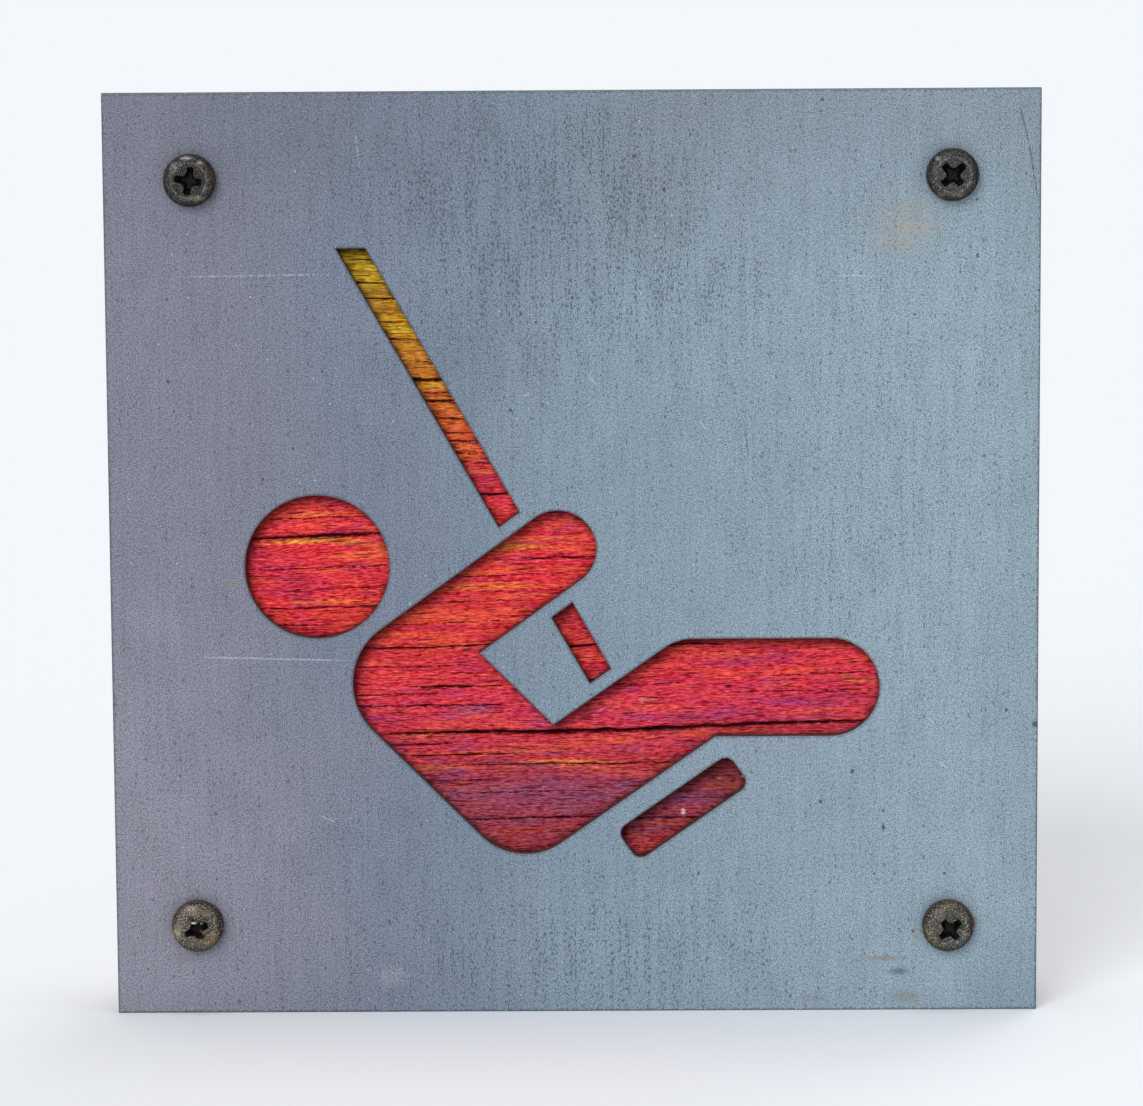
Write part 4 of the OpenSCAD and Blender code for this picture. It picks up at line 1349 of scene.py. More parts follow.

# %% [markdown]
# ## The sheet's finish
# Zinc weathers to a matte blue-grey skin. The purple to the left is partly the zinc's own tone and partly a
# painted reflection of the darker side of the sky. The colours across the sheet are one ramp, bent by broad
# noise, and darker towards the top. Over it lie upright streaks where rain has run, thousands of dark
# specks, densest in the upper middle and at the foot, a few tiny bright ones, the marks that this sign has:
# long light scratches, brown stains, and rust beside one screw, and a ring of painted shade round each
# screw.

# %% Shade the sheet
SHEET_SIDE = 150.0
# Share of the way across the sheet, and the colour there; the purple to the left is partly the zinc's own
# tone and partly a painted reflection of the darker side of the sky
SHEET_TONES_AND_REFLECTION = [
    (0.02, "7b7c89"), (0.13, "787a89"), (0.27, "737c8d"), (0.40, "768595"), (0.53, "8193a1"),
    (0.67, "8798a5"), (0.80, "8b9daa"), (0.93, "8ea1ad"), (0.99, "899ba7"),
]
SHEET_SWINGS = [("clouds", -0.2), ("streaks", -0.28), ("mottle", -0.7), ("grain", 1.9)]
# Start, end, width and how broken
SCRATCHES = [
    ((-64, 120.6), (-38, 120.9), 0.14, 0.8), ((-61, 58.9), (-36, 58.2), 0.16, 0.45),
    ((40, 120.3), (49, 120.1), 0.12, 0.6), ((-34.5, 143.5), (-33.8, 138.0), 0.1, 0.7),
    ((2.5, 104.2), (3.8, 102.9), 0.14, 0.0), ((59.0, 41.2), (60.3, 40.0), 0.14, 0.0),
    ((-41.5, 32.6), (-39.0, 31.6), 0.13, 0.2), ((-8.0, 101.0), (-6.9, 101.6), 0.12, 0.0),
    ((20.5, 96.8), (21.3, 95.6), 0.12, 0.0), ((33.0, 15.0), (34.6, 15.6), 0.1, 0.3),
]
DARK_TICKS = [
    ((71.5, 147.2), (73.0, 141.2), 0.18, 0.6), ((73.0, 141.2), (73.8, 136.5), 0.2, 0.6),
    ((73.8, 136.5), (74.4, 132.5), 0.14, 0.8), ((49.8, 30.3), (50.2, 30.3), 0.8, 0.0),
    ((74.3, 47.6), (74.9, 46.8), 0.6, 0.0), ((27.5, 97.0), (28.2, 91.0), 0.16, 0.9),
]
# Middle, reach, raggedness, tint and strength
BROAD_STAINS = [
    ((12.0, 135.0), (11.0, 12.0), 0.35, "70766f", 0.22), ((17.0, 146.0), (14.0, 6.0), 0.35, "72787a", 0.25),
    ((-30.0, 6.0), (3.5, 2.2), 0.4, "a4a4ac", 0.35), ((-71, 24), (46, 60), 0.25, "8d8c99", 0.7),
    ((-8, 136), (36, 22), 0.3, "687380", 0.16), ((-46, 143), (20, 10), 0.35, "686e7a", 0.4),
    ((-17, 106), (15, 20), 0.4, "606f80", 0.28), ((74, 3), (16, 14), 0.35, "788a96", 0.45),
]
SMALL_STAINS = [
    ((52.5, 128.0), (8.0, 6.5), 0.5, "9c9c90", 0.3), ((53.0, 131.0), (5.5, 1.2), 0.8, "97927c", 0.3),
    ((54.5, 127.6), (5.0, 0.9), 0.8, "a69880", 0.36), ((51.5, 124.9), (4.5, 1.1), 0.8, "97927c", 0.25),
    ((50.0, 8.6), (4.0, 0.6), 0.7, "8a7a66", 0.6), ((52.6, 6.4), (2.0, 0.8), 0.8, "50585a", 0.7),
    ((53.8, 2.2), (3.4, 1.4), 0.6, "84806f", 0.5), ((39.0, 2.0), (2.8, 0.8), 0.7, "857a76", 0.35),
    ((55.2, 12.6), (1.0, 2.2), 0.6, "9a968a", 0.45), ((64.7, 14.6), (1.0, 1.3), 0.3, "8a5f4a", 0.6),
    ((-64.0, 9.2), (3.5, 1.4), 0.5, "7a7068", 0.3), ((-56.0, 71.0), (1.2, 0.8), 0.4, "857a6c", 0.5),
]
SCREW_SHADE_AND_GRIME = 6.2
SPECK_ZONES = [((-8, 128), (44, 34), 0.6), ((0, 10), (48, 17), 0.45), ((50, 92), (30, 52), 0.2)]


def speck_density(tree, where, broad, streaks):
    """How thick the specks lie: in the upper middle, at the foot, and thinner everywhere else."""
    dense = calc(tree, "MULTIPLY_ADD", broad, 0.5, 0.05)
    for middle, reach, gain in SPECK_ZONES:
        sockets = {"Face Place": where, "Middle": (*middle, 0), "Reach": (*reach, 1), "Cloud": broad,
                   "Ragged": 0.4}
        dense = calc(tree, "MULTIPLY_ADD", use(tree, patch, sockets)[0], gain, dense)
    return product(tree, dense, fade(tree, streaks, 0.38, 0.6, 0.45, 1.25))


def sheet_noises(tree, where):
    """Six noises, from clouds as wide as a hand down to grain as fine as a hair."""
    shapes = {
        "broad": ((1.0, 1.0, 1), 0.028, 3, 0.6),
        "clouds": ((1.0, 0.8, 1), 0.16, 4, 0.62),
        "streaks": ((1.0, 0.08, 1), 0.9, 4, 0.65),
        "mottle": ((1.0, 0.8, 1), 2.2, 4, 0.75),
        "pits": ((1.0, 0.5, 1), 3.0, 3, 0.6),
        "grain": ((1.0, 0.8, 1), 5.5, 1, 0.5),
    }
    return {
        name: noise(tree, times(tree, where, stretch), scale, detail, roughness, "2D")
        for name, (stretch, scale, detail, roughness) in shapes.items()
    }


def varied(tree, tone, swings, pale=0.0):
    """Swings a colour lighter and darker by several noises, each as (noise, strength).

    Pale adds some of the swing to all three channels alike, as fine dust does on a strong colour."""
    swing = 0.0
    for value, strength in swings:
        swing = swung(tree, swing, value, strength)
    factor = calc(tree, "ADD", swing, 1.0)
    tone = times(tree, tone, triple(tree, factor))
    tone = plus(tree, tone, triple(tree, product(tree, swing, pale)))
    return vector_calc(tree, "MAXIMUM", tone, (0, 0, 0))


def zinc_material():
    material, tree, place = new_material("zinc_sheet")
    where = face_place(tree, place)
    x, z, _ = split(tree, where)
    edge = put(tree, "ShaderNodeAttribute", attribute_name="edge").outputs["Fac"]
    field = sheet_noises(tree, where)
    bent = swung(tree, x, field["broad"], 22.0)
    tone = ramp(tree, calc(tree, "MULTIPLY_ADD", bent, 1 / SHEET_SIDE, 0.5), SHEET_TONES_AND_REFLECTION)
    tone = mix(tree, fade(tree, z, 120.0, SHEET_SIDE, 0.0, 0.2), tone, "7b8290")
    # Darker towards the top and a little lighter at the foot
    darker_top = fade(tree, z, 112.0, SHEET_SIDE, 1.0, 0.87)
    top_and_foot = product(tree, darker_top, fade(tree, z, 30.0, 8.0, 1.0, 1.06))
    tone = times(tree, tone, triple(tree, top_and_foot))
    tone = add_patches(tree, tone, where, field["broad"], BROAD_STAINS)
    tone = varied(tree, tone, [(field[name], strength) for name, strength in SHEET_SWINGS])
    cloud = calc(tree, "MULTIPLY_ADD", field["mottle"], 0.5, product(tree, field["clouds"], 0.5))
    tone = add_patches(tree, tone, where, cloud, SMALL_STAINS)
    # A darker ring round each screw: painted shade round the head, with some grime
    for node in FACE_SCREWS:
        low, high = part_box(node)
        middle = ((low.x + high.x) / 2 / MM, (low.z + high.z) / 2 / MM)
        painted_shade = [(middle, (SCREW_SHADE_AND_GRIME, SCREW_SHADE_AND_GRIME), 0.12, "525660", 0.5)]
        tone = add_patches(tree, tone, where, field["clouds"], painted_shade)
    dense = speck_density(tree, where, field["broad"], field["streaks"])
    limit = calc(tree, "MULTIPLY_ADD", dense, -0.15, 0.66)
    fine = fade(tree, calc(tree, "SUBTRACT", field["pits"], limit), 0.0, 0.13)
    bend = times(tree, join(tree, field["mottle"], field["pits"], 0.0), (0.5, 0.7, 0.0))
    ragged = plus(tree, where, bend)
    tall = times(tree, ragged, (1.0, 0.62, 1))
    aside = plus(tree, where, (31.7, 17.3, 0))
    crowd = product(tree, dense, 0.28)
    middling = {"Face Place": tall, "Cells per mm": 1.25, "Size": 0.24, "Share": crowd}
    large = {"Face Place": ragged, "Cells per mm": 0.2, "Size": 0.34, "Share": 0.07, "Softness": 0.7}
    bright = {"Face Place": aside, "Cells per mm": 0.4, "Size": 0.16, "Share": 0.08}
    middling, large, bright = (use(tree, dots, sockets)[0] for sockets in (middling, large, bright))
    tone = mix(tree, product(tree, fine, 0.75), tone, "3a4452")
    tone = mix(tree, product(tree, middling, 0.55), tone, "3d4550")
    tone = mix(tree, product(tree, large, 0.75), tone, "33363e")
    tone = mix(tree, product(tree, bright, 0.7), tone, "ccd6dc")
    scratched = strokes(tree, where, field["mottle"], SCRATCHES)
    tone = mix(tree, product(tree, scratched, 0.5), tone, "c3ccd2")
    ticks = strokes(tree, where, field["mottle"], DARK_TICKS)
    tone = mix(tree, product(tree, ticks, 0.8), tone, "33383f")
    worn = use(tree, worn_edge, {"Uneven": field["mottle"], "Edge Distance": edge, "Width": 0.5})[0]
    tone = mix(tree, product(tree, worn, 0.55), tone, "454a52")
    wall = fade(tree, edge, 0.1, -0.25)
    tone = mix(tree, wall, tone, mix(tree, field["mottle"], "1f1917", "433a35"))
    near_edge = fade(tree, edge, 0.9, 0.0)
    spots = {"Place": place, "Amount": product(tree, near_edge, 0.4), "Grain": 0.8}
    spots = use(tree, rust, spots)
    rusty = product(tree, spots[0], product(tree, near_edge, 0.45))
    tone = mix(tree, rusty, tone, spots[1])
    dark = calc(tree, "MAXIMUM", fine, wall)
    metallic = calc(tree, "MULTIPLY_ADD", dark, -0.35, 0.42)
    rough = fade(tree, field["mottle"], 0.3, 0.7, 0.46, 0.6)
    rough = calc(tree, "MULTIPLY_ADD", dark, 0.3, rough)
    relief = calc(tree, "MULTIPLY_ADD", field["pits"], -0.8, field["mottle"])
    feed_shader(tree, tone, metallic, rough, relief, strength=0.4, depth=0.03)
    return material


zinc_sheet = zinc_material()
print("the sheet's material has", len(zinc_sheet.node_tree.nodes), "nodes")

# %% [markdown]
# ## The board: where the sheet shades it
# The paint close under an edge of the sheet is painted darker, as painted shadow. It shows most along the
# upper left edges, which keep the light off, and as a thin band of painted shade along every edge. For each
# vertex of the painted face in a cut-out, a few steps are taken towards the light, and the share of steps
# that end under the sheet is stored. The same could be done with an ambient occlusion node, but an
# attribute renders faster and shows in every viewer that reads it.

# %% Store where the paint gets painted shadow
TOWARDS_LIGHT = np.array((-0.54, 0.84))
SHADOW_STEPS = np.linspace(0.15, 2.6, 8)
RIM_SHADE = 0.45
FRONT_LAYER = 5.0


def sheltered(piece, outlines, face_y):
    """How much painted shadow the paint gets: 1 under the sheet, and from 1 to 0 in the cut-outs, away from
    the edges that shade them.
    """
    places = np.empty(len(piece.data.vertices) * 3)
    piece.data.vertices.foreach_get("co", places)
    places = places.reshape(-1, 3) / MM
    values = np.ones(len(places))
    face = np.flatnonzero(places[:, 1] < face_y + FRONT_LAYER)
    face = face[~inside(places[face][:, [0, 2]], outlines)]
    spots = places[face][:, [0, 2]]
    shaded = np.mean([inside(spots + TOWARDS_LIGHT * step, outlines) for step in SHADOW_STEPS], 0)
    rim = np.clip(1 - edge_distance(spots, outlines) / RIM_SHADE, 0, 1)
    values[face] = np.maximum(shaded, 0.5 * rim)
    return values


shadow_share = sheltered(board, outlines, board_low[1])
set_value(board, "sheltered", shadow_share)
print(np.count_nonzero(shadow_share < 1), "vertices of the board stand open")

# %% [markdown]
# ## The board's finish
# The front carries thin, old paint: yellow at the top, orange below it, then crimson, and purple towards
# the foot. The weather has worn it along the grain, so its light and dark tones lie in streaks that follow
# the ridges, with cool clouds and warm veins, and the cracks are nearly black. The streaks and patches that
# stand out are placed one by one. The sides, the ends and the back are bare softwood gone grey, with growth
# rings around a heart that lies behind the board. The colours follow the straight grain place that was
# stored before the board was bent, so streaks and cracks bend together.

# %% Shade the board
# Height up the board in mm, the paint there, its cool tone and its warm tone. From 88 mm up, in the narrow
# rope, the tones are painted lighter to make up for the shade in the slot
PAINT_TONES = [
    (22, "943440", "6c3448", "c04c34"), (26, "9a3644", "703c50", "c05036"),
    (30, "a03846", "744058", "b84c38"), (34, "983e52", "704a70", "b04c50"),
    (38, "a83e4e", "7a4266", "cc5c3c"), (42, "c03a46", "8c3c58", "e06434"),
    (46, "cc3a4a", "9c3a68", "e05a3c"), (50, "ce3850", "a8386c", "e85044"),
    (55, "d83846", "b03460", "ee5440"), (61, "d03440", "b02c58", "ec5c38"),
    (67, "e0383e", "b42c50", "f06838"), (72, "e03642", "b42c54", "f07038"),
    (77, "e03842", "b02c58", "f07038"), (83, "e63c46", "a82c50", "e85c38"),
    (88, "dc3e4c", "b42c58", "e8683c"), (91, "dc543a", "b83060", "ec7840"),
    (97, "de6634", "b04030", "f0903c"), (103, "d27830", "a84e30", "e89c3c"),
    (108, "cc8430", "a86028", "e8a83c"), (113, "dc9a2a", "a87020", "ecc038"),
    (118, "be8a2c", "946c24", "dcac34"), (121, "c09628", "8c7020", "e0b830"),
    (125, "ae941e", "786818", "ccb028"), (140, "80701c", "5c5418", "a89424"),
]
# Middle, reach, raggedness, tint and strength
PAINT_STREAKS = [
    ((-43.5, 77.5), (9.0, 0.55), 0.3, "eaa838", 0.85), ((-36.5, 77.3), (4.0, 0.5), 0.3, "e89438", 0.7),
    ((-10.0, 76.4), (7.5, 0.8), 0.3, "e89038", 0.8), ((-15.0, 69.9), (11.0, 0.9), 0.3, "e87c34", 0.75),
    ((-1.0, 41.0), (10.0, 0.8), 0.3, "ea803c", 0.85), ((46.5, 54.2), (4.0, 0.6), 0.3, "e07a3a", 0.7),
    ((-40.0, 67.6), (9.0, 0.6), 0.3, "ea7a3c", 0.6), ((-41.0, 82.0), (8.0, 0.6), 0.3, "e07a3a", 0.55),
    ((-8.0, 24.0), (8.0, 0.9), 0.3, "d06038", 0.7), ((24.0, 58.5), (12.0, 0.5), 0.3, "e0703c", 0.5),
    ((-24.0, 45.6), (6.0, 0.5), 0.3, "e07040", 0.5), ((-30.0, 62.2), (6.0, 0.5), 0.3, "e87838", 0.3),
    ((-17.0, 49.6), (5.0, 0.9), 0.35, "6c5c74", 0.6), ((18.0, 48.2), (6.0, 1.0), 0.35, "7c4068", 0.6),
    ((-5.0, 36.2), (20.0, 3.2), 0.4, "70446e", 0.5), ((18.5, 35.2), (8.0, 1.6), 0.4, "6c4068", 0.65),
    ((-46.0, 71.5), (6.0, 1.0), 0.4, "94305a", 0.6), ((40.0, 51.0), (9.0, 1.0), 0.4, "8c3868", 0.55),
    ((36.0, 47.8), (12.0, 1.0), 0.4, "9c3a70", 0.5), ((27.0, 57.5), (7.0, 0.8), 0.4, "8c4068", 0.5),
    # The dark patch at the seat's upper edge is partly dark paint and partly painted shadow of the sheet
    ((24.5, 39.0), (8.5, 3.8), 0.3, "562828", 0.85), ((13.0, 27.1), (5.0, 1.6), 0.4, "d04a30", 0.6),
    ((44.0, 54.8), (1.2, 0.5), 0.25, "7c6430", 0.8), ((11.5, 51.2), (1.5, 0.4), 0.25, "9a8a64", 0.7),
    ((25.0, 53.4), (0.8, 0.4), 0.2, "3a1418", 0.8), ((17.5, 32.7), (0.5, 0.7), 0.1, "f0d8e0", 0.95),
    ((23.4, 38.2), (0.35, 0.25), 0.1, "c8a0a8", 0.8), ((27.2, 38.5), (0.3, 0.2), 0.1, "c8a0a8", 0.8),
    ((-32.0, 118.2), (5.0, 1.0), 0.3, "98782a", 0.5), ((-30.5, 114.9), (5.0, 1.5), 0.3, "a06a28", 0.6),
    ((-28.3, 111.8), (5.0, 1.0), 0.25, "dcc034", 0.85), ((-22.8, 102.7), (5.0, 0.6), 0.25, "dcb038", 0.75),
    ((-21.8, 101.2), (5.0, 0.5), 0.25, "9c4430", 0.4), ((-21.3, 99.3), (5.0, 1.0), 0.3, "e88836", 0.6),
    ((-18.5, 95.0), (5.0, 0.5), 0.3, "b84430", 0.5), ((-18.0, 92.7), (4.0, 0.6), 0.3, "dc7a30", 0.6),
    ((-14.5, 87.4), (5.0, 1.5), 0.4, "a82c58", 0.5), ((-41.5, 80.2), (8.0, 1.6), 0.35, "f24a3a", 0.7),
    # The patch over the elbow at (-19, 68) is painted shadow that widens the shade of the sheet's edge
    ((-19.0, 68.0), (7.0, 4.0), 0.4, "b02e34", 0.35), ((13.5, 32.0), (5.0, 2.6), 0.4, "6e2c3c", 0.4),
]
BAREWOOD_TONES = [(0.0, "b7a284"), (0.55, "a58c6b"), (0.85, "80674a"), (0.97, "6b543c"), (1.0, "b7a284")]
RING_WIDTH = 2.6
HEART_PLACE = (0.0, 41.0, 66.0)


def bare_softwood(tree, grain, band, fibre):
    """Greyed softwood with growth rings around the heart."""
    radius = vector_calc(tree, "DISTANCE", times(tree, grain, (0, 1, 1)), HEART_PLACE)
    radius = calc(tree, "MULTIPLY_ADD", band, 3.2, radius)
    ring = calc(tree, "FRACT", calc(tree, "DIVIDE", radius, RING_WIDTH))
    tone = ramp(tree, ring, BAREWOOD_TONES)
    tone = mix(tree, fade(tree, band, 0.38, 0.62, 0.25, 0.7), tone, "918a80")
    tone = mix(tree, fade(tree, fibre, 0.52, 0.72, 0.0, 0.5), tone, "c0b399")
    return mix(tree, fade(tree, fibre, 0.46, 0.28, 0.0, 0.6), tone, "57493b")


def shade_board(material):
    material.use_nodes = True
    tree = material.node_tree
    grain = put(tree, "ShaderNodeAttribute", attribute_name="grain").outputs["Vector"]
    stored = {name: put(tree, "ShaderNodeAttribute", attribute_name=name).outputs["Fac"]
              for name in ("crack_away", "crack_gap", "front", "sheltered")}
    x, _, height = split(tree, grain)
    band = noise(tree, times(tree, grain, (0.035, 1.0, 1.0)), 0.9, detail=4, roughness=0.62)
    fibre = noise(tree, times(tree, grain, (0.14, 1.0, 1.0)), 4.6, detail=3, roughness=0.68)
    flake = noise(tree, times(tree, grain, (0.45, 1.0, 1.0)), 2.4, detail=4, roughness=0.66)
    hair = noise(tree, times(tree, grain, (0.045, 1.0, 1.0)), 4.2, detail=2)
    chips = noise(tree, times(tree, grain, (0.6, 1.0, 1.0)), 3.1, detail=3, roughness=0.7)
    fuzz = noise(tree, times(tree, grain, (0.13, 1.0, 1.0)), 6.0, detail=2)
    cloud = noise(tree, times(tree, grain, (0.22, 1.0, 1.0)), 0.55, detail=5, roughness=0.7)
    vein = noise(tree, times(tree, grain, (0.06, 1.0, 1.0)), 1.1, detail=4, roughness=0.68)
    level = swung(tree, swung(tree, height, flake, 2.5), band, 5.0)
    level = calc(tree, "DIVIDE", level, SHEET_SIDE)
    tones = [[(row[0] / SHEET_SIDE, row[kind]) for row in PAINT_TONES] for kind in (1, 2, 3)]
    paint, cool, warm = (ramp(tree, level, stops) for stops in tones)
    paint = mix(tree, fade(tree, cloud, 0.51, 0.62, 0.0, 0.65), paint, cool)
    paint = mix(tree, fade(tree, vein, 0.5, 0.61, 0.0, 0.6), paint, warm)
    where = join(tree, x, height, 0.0)
    streaks = [
        ((across, straight_height(across, up, board_high[2])), *rest)
        for (across, up), *rest in PAINT_STREAKS
    ]
    streaked = add_patches(tree, paint, where, flake, streaks)
    paint = mix(tree, fade(tree, fibre, 0.4, 0.56, 0.45, 1.0), paint, streaked)
    swings = ((fuzz, 1.6), (flake, -1.1), (fibre, 1.4), (band, 0.4))
    paint = varied(tree, paint, swings, pale=0.1)
    paint = mix(tree, fade(tree, chips, 0.61, 0.68, 0.0, 0.5), paint, "5a1418")
    paint = mix(tree, fade(tree, hair, 0.43, 0.36, 0.0, 0.8), paint, "4a0a10")
    bare = bare_softwood(tree, grain, band, fibre)
    thin = calc(tree, "MULTIPLY_ADD", flake, 0.9, -0.2)
    painted = fade(tree, calc(tree, "SUBTRACT", stored["front"], thin), 0.0, 0.12)
    tone = mix(tree, painted, bare, paint)
    # Painted shadow where the sheet's edges keep the light off the paint, and a thin band of painted shade
    # along every edge
    painted_shade = product(tree, stored["sheltered"], painted)
    tone = mix(tree, product(tree, painted_shade, 0.8), tone, "3c2020", "MULTIPLY")
    away = swung(tree, swung(tree, stored["crack_away"], chips, 0.7), fibre, 0.4)
    away = calc(tree, "DIVIDE", away, stored["crack_gap"])
    tone = mix(tree, fade(tree, away, 3.0, 1.0, 0.0, 0.5), tone, "a08484", "MULTIPLY")
    deep = fade(tree, away, 1.3, 0.6)
    tone = mix(tree, product(tree, deep, 0.55), tone, "5a1216")
    tone = mix(tree, deep, tone, "907a78", "MULTIPLY")
    rough = fade(tree, fibre, 0.3, 0.7, 0.55, 0.78)
    relief = calc(tree, "MULTIPLY_ADD", flake, 0.5, fibre)
    relief = calc(tree, "MULTIPLY_ADD", fade(tree, hair, 0.3, 0.36), 0.5, relief)
    feed_shader(tree, tone, None, rough, relief, strength=0.7, depth=0.15, specular=0.08)


shade_board(painted_wood)
print("the board's material has", len(painted_wood.node_tree.nodes), "nodes")

# %% [markdown]
# ## The screws' finish
# The heads are dark, oxidised steel. A lighter ring round the flat of each head is partly rubbed by a
# screwdriver and partly a painted highlight on the flat's edge. The cross is painted nearly black, for its
# dirt and for the shade in it, rust lies thickest by the rim, and the outer rim and the foot of each head
# are painted darker as shade. Each head has its own tones and marks, because no two look the same: the upper
# ones are dark and whole, the lower left one is rusty with a bright torn edge, and the lower right one is
# stained brown at the top. Places on a head are counted from its middle.

# %% Shade the screws
# Tones of the flat and of the shoulder, dark and light. A glint is a painted highlight and a mark is a
# patch, as on the sheet; the marks are stains and rust, with painted highlights to the upper left of each
# head and painted shade along its right edge
HEAD_LOOKS = {
    "screw_top_left": {
        "Flat": ("242526", "3b3b3a"), "Shoulder": ("272829", "3c3d3c"),
        "Recess": "0a0a0b", "Rust": 0.14, "Flecks": 0.3,
        "Glints": [],
        "Marks And Light": [
            ((-0.4, 3.7), (1.2, 0.35), 0.6, "a4a6a3", 0.65), ((1.9, 2.9), (0.7, 0.4), 0.6, "a8937f", 0.6),
            ((3.4, 0.3), (0.9, 2.4), 0.4, "4c382e", 0.7), ((1.2, -2.8), (2.2, 0.5), 0.3, "7c7c70", 0.6),
            ((-2.4, 2.3), (1.0, 1.2), 0.4, "74756f", 0.5),
        ],
    },
    "screw_top_right": {
        "Flat": ("31312f", "484745"), "Shoulder": ("2c2c2c", "434240"),
        "Recess": "0b0a0a", "Rust": 0.16, "Flecks": 0.3,
        "Glints": [],
        "Marks And Light": [
            ((-2.1, -3.2), (0.8, 0.6), 0.8, "6e5240", 0.75), ((3.9, 0.0), (0.6, 2.8), 0.3, "1c1d20", 0.8),
            ((0.6, -3.1), (1.3, 0.5), 0.3, "77705f", 0.6), ((-2.5, 2.7), (0.6, 0.5), 0.4, "8c8c88", 0.5),
            ((-3.9, 0.6), (0.7, 2.6), 0.3, "2c2b2a", 0.6),
        ],
    },
    "screw_bottom_left": {
        "Flat": ("3e3933", "605950"), "Shoulder": ("3a3630", "605b52"),
        "Recess": "1a130f", "Rust": 0.4, "Flecks": 0.95,
        "Glints": [
            ((-0.5, 0.74), (0.6, 0.24), 0.3, "e9e7e0", 0.85), ((0.6, -0.9), (0.35, 0.2), 0.2, "9a8f80", 0.7),
        ],
        "Marks And Light": [
            ((-3.3, -0.9), (0.8, 1.7), 0.7, "a39b80", 0.75), ((2.4, -2.4), (1.7, 1.4), 0.8, "7d6248", 0.7),
            ((3.7, 0.8), (0.8, 2.4), 0.4, "2a2220", 0.8), ((0.2, 2.3), (2.4, 0.6), 0.4, "8c8062", 0.6),
            ((-1.0, 3.1), (1.6, 0.7), 0.5, "a89a90", 0.5),
        ],
    },
    "screw_bottom_right": {
        "Flat": ("363634", "52504d"), "Shoulder": ("363533", "585650"),
        "Recess": "120f0e", "Rust": 0.32, "Flecks": 0.8,
        "Glints": [],
        "Marks And Light": [
            ((0.3, 3.7), (2.3, 0.6), 0.6, "675a42", 0.7), ((-3.0, -1.2), (1.2, 1.8), 0.7, "6f6449", 0.55),
            ((3.6, 0.3), (0.7, 1.9), 0.5, "3a2420", 0.8), ((-1.2, 1.9), (1.0, 1.0), 0.5, "8d7a70", 0.5),
            ((-3.5, 2.2), (0.9, 1.2), 0.4, "2f2e2c", 0.7),
        ],
    },
}
FLAT_EDGE_R = (2.75, 3.25)
PAN_RECESS = (2.45, 0.35)


def shade_steel(material, node, outward_y, recess, look):
    """Finish of one screw. Outward_y is the way that its head faces; recess is its radius and depth."""
    material.use_nodes = True
    tree = material.node_tree
    recess_r, recess_rise = recess
    low, high = (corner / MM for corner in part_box(node))
    top_y = low.y if outward_y < 0 else high.y
    middle = ((low.x + high.x) / 2, top_y, (low.z + high.z) / 2)
    place = in_mm(tree, put(tree, "ShaderNodeTexCoord").outputs["Object"])
    own = vector_calc(tree, "SUBTRACT", place, middle)
    _, sunk, _ = split(tree, own)
    sunk = product(tree, sunk, -outward_y)
    where = face_place(tree, own)
    radius = vector_calc(tree, "LENGTH", where)
    mottle = noise(tree, own, 1.5, detail=4, roughness=0.7)
    grit = noise(tree, own, 6.0, detail=2, roughness=0.6)
    flat = mix(tree, fade(tree, mottle, 0.36, 0.64), *look["Flat"])
    shoulder = mix(tree, fade(tree, mottle, 0.36, 0.64), *look["Shoulder"])
    tone = mix(tree, fade(tree, radius, *FLAT_EDGE_R), flat, shoulder)
    uneven = swung(tree, radius, mottle, 1.6)
    # A lighter ring round the flat: partly rubbed by a screwdriver, partly a painted highlight on the flat's
    # edge
    ring = fade(tree, calc(tree, "ABSOLUTE", calc(tree, "SUBTRACT", uneven, FLAT_EDGE_R[0] + 0.15)), 0.2, 0.05)
    tone = mix(tree, product(tree, ring, fade(tree, mottle, 0.4, 0.6, 0.05, 0.8)), tone, "7a7a75")
    # Painted shade on the outer rim, where the head curves away from the light
    tone = mix(tree, fade(tree, uneven, recess_r * 1.45, recess_r * 1.62, 0.0, 0.75), tone, "211f1d")
    cloud = calc(tree, "MULTIPLY_ADD", grit, 0.5, product(tree, mottle, 0.5))
    # Stains and rust, with painted highlights to the upper left and painted shade along the right edge
    tone = add_patches(tree, tone, where, cloud, look["Marks And Light"])
    tone = varied(tree, tone, ((grit, 2.6), (mottle, -1.2)), pale=0.05)
    tone = mix(tree, fade(tree, grit, 0.58, 0.66, 0.0, look["Flecks"]), tone, "c2b9aa")
    tone = mix(tree, fade(tree, grit, 0.42, 0.35, 0.0, 0.7), tone, "191614")
    rusted = use(tree, rust, {"Place": own, "Amount": look["Rust"], "Grain": 1.1})
    by_rim = fade(tree, radius, recess_r * 0.8, recess_r * 1.6, 0.25, 0.85)
    old_rust = mix(tree, 0.55, rusted[1], "5c4e45")
    tone = mix(tree, product(tree, rusted[0], by_rim), tone, old_rust)
    in_recess = fade(tree, sunk, recess_rise * 0.3, recess_rise)
    in_recess = product(tree, in_recess, fade(tree, radius, recess_r * 1.35, recess_r * 1.2))
    # The cross painted nearly black: its dirt, and painted shade in the recess
    tone = mix(tree, in_recess, tone, look["Recess"])
    # Painted highlights, such as the glint on the torn sliver
    tone = add_patches(tree, tone, where, cloud, look["Glints"])
    # Painted shade at the foot of the head, where it meets the sheet
    under = fade(tree, sunk, 2.2, 2.6, 0.0, 0.5)
    tone = mix(tree, under, tone, "2a2422")
    covered = calc(tree, "MAXIMUM", in_recess, product(tree, rusted[0], by_rim))
    metallic = calc(tree, "MULTIPLY_ADD", covered, -0.6, 0.6)
    rough = fade(tree, grit, 0.3, 0.7, 0.4, 0.65)
    relief = calc(tree, "MULTIPLY_ADD", rusted[2], 0.6, calc(tree, "ADD", grit, mottle))
    feed_shader(tree, tone, metallic, rough, relief, strength=0.5, depth=0.08, specular=0.2)


for node, look in HEAD_LOOKS.items():
    shade_steel(screws[node][1], node, -1, PAN_RECESS, look)
print("face screws shaded:", list(HEAD_LOOKS))

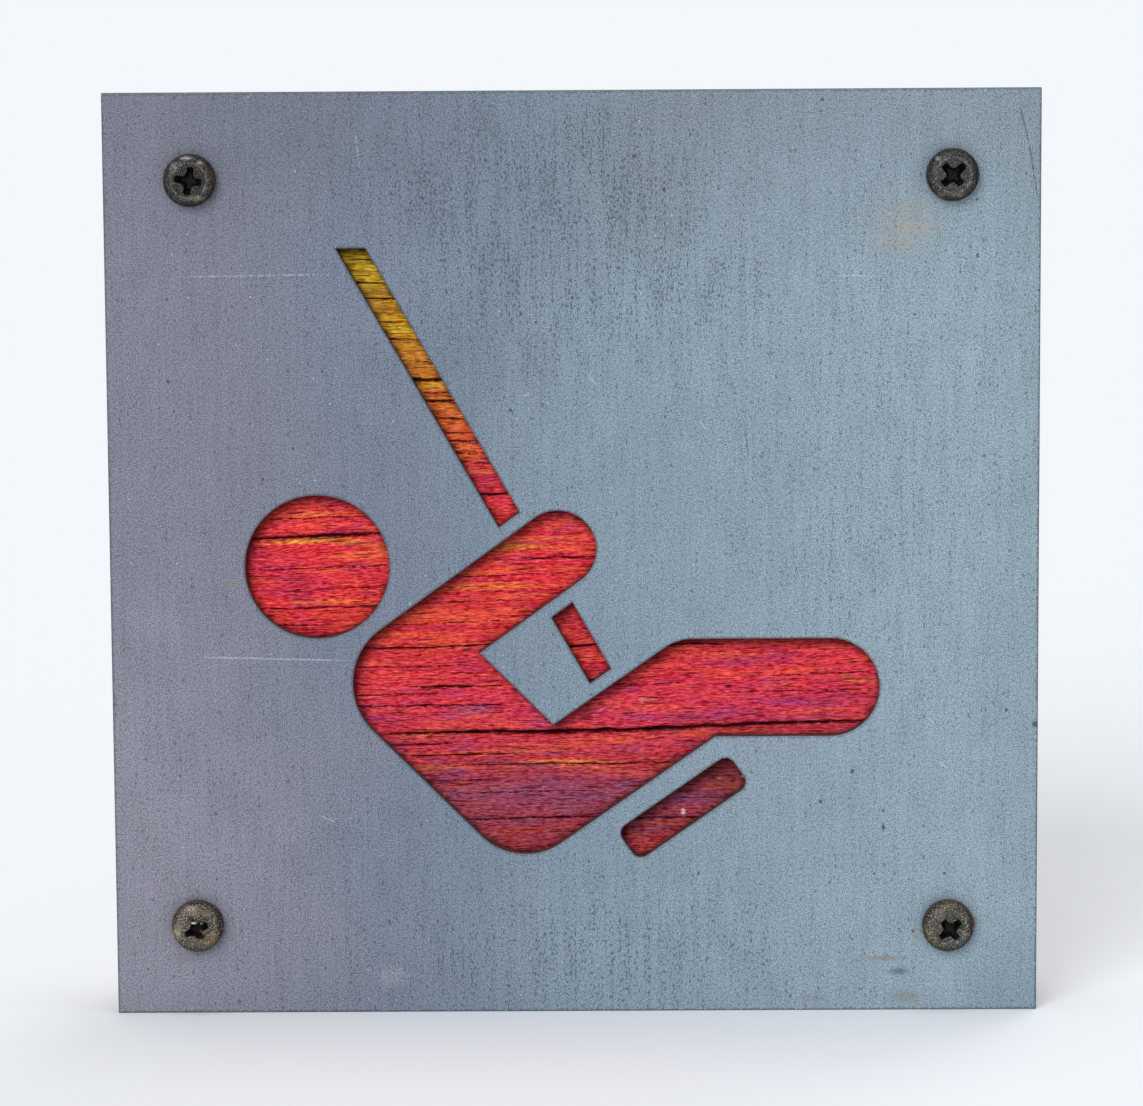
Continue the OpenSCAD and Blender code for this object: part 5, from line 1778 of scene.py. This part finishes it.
# %% [markdown]
# ## The hangers' finish
# The hangers and their screws are zinc plated and have stayed dry behind the board. The plating has gone
# dull, with pale bloom in clouds, fine rolling lines, and a few small spots of rust.

# %% Shade the hangers
SMALL_RECESS = (1.5, 0.4)
SMALL_LOOK = {
    "Flat": ("7c7d7a", "a2a29c"), "Shoulder": ("74746f", "989790"),
    "Recess": "2a2826", "Rust": 0.14, "Flecks": 0.3, "Marks And Light": [], "Glints": [],
}


def plated_steel():
    material, tree, place = new_material("plate_zinc")
    rolling = noise(tree, times(tree, place, (3.2, 3.2, 0.05)), 1.0, detail=3, roughness=0.6)
    bloom = noise(tree, place, 0.32, detail=4, roughness=0.6)
    fine = noise(tree, place, 2.6, detail=3, roughness=0.6)
    tone = mix(tree, fade(tree, rolling, 0.35, 0.65), "84867f", "a6a79f")
    tone = mix(tree, fade(tree, bloom, 0.5, 0.68, 0.0, 0.6), tone, "c3c2b8")
    tone = mix(tree, fade(tree, fine, 0.55, 0.72, 0.0, 0.4), tone, "686863")
    rusted = use(tree, rust, {"Place": place, "Amount": 0.17, "Grain": 0.55})
    tone = mix(tree, product(tree, rusted[0], 0.8), tone, rusted[1])
    metallic = calc(tree, "MULTIPLY_ADD", rusted[0], -0.7, 0.75)
    rough = fade(tree, bloom, 0.35, 0.65, 0.36, 0.6)
    relief = calc(tree, "MULTIPLY_ADD", rolling, 0.6, fine)
    feed_shader(tree, tone, metallic, rough, relief, strength=0.3, depth=0.03)
    return material


for node in HANGER_SCREWS:
    shade_steel(screws[node][1], node, 1, SMALL_RECESS, SMALL_LOOK)
plate_zinc = plated_steel()
print("hanger screws shaded:", list(HANGER_SCREWS))

# %% [markdown]
# ## Everything rides on one body
# The sign has no moving parts, so every piece rides on its root body. Each one hides the measured part
# that it stands for, and takes its finish.

# %% Give the pieces their places in the sign
finish_piece(sheet, "face_plate", zinc_sheet)
finish_piece(board, "backing_board", painted_wood)
for node, (piece, steel) in screws.items():
    finish_piece(piece, node, steel)
for side, plate in plates.items():
    finish_piece(plate, "hanger_plate_" + side, plate_zinc)
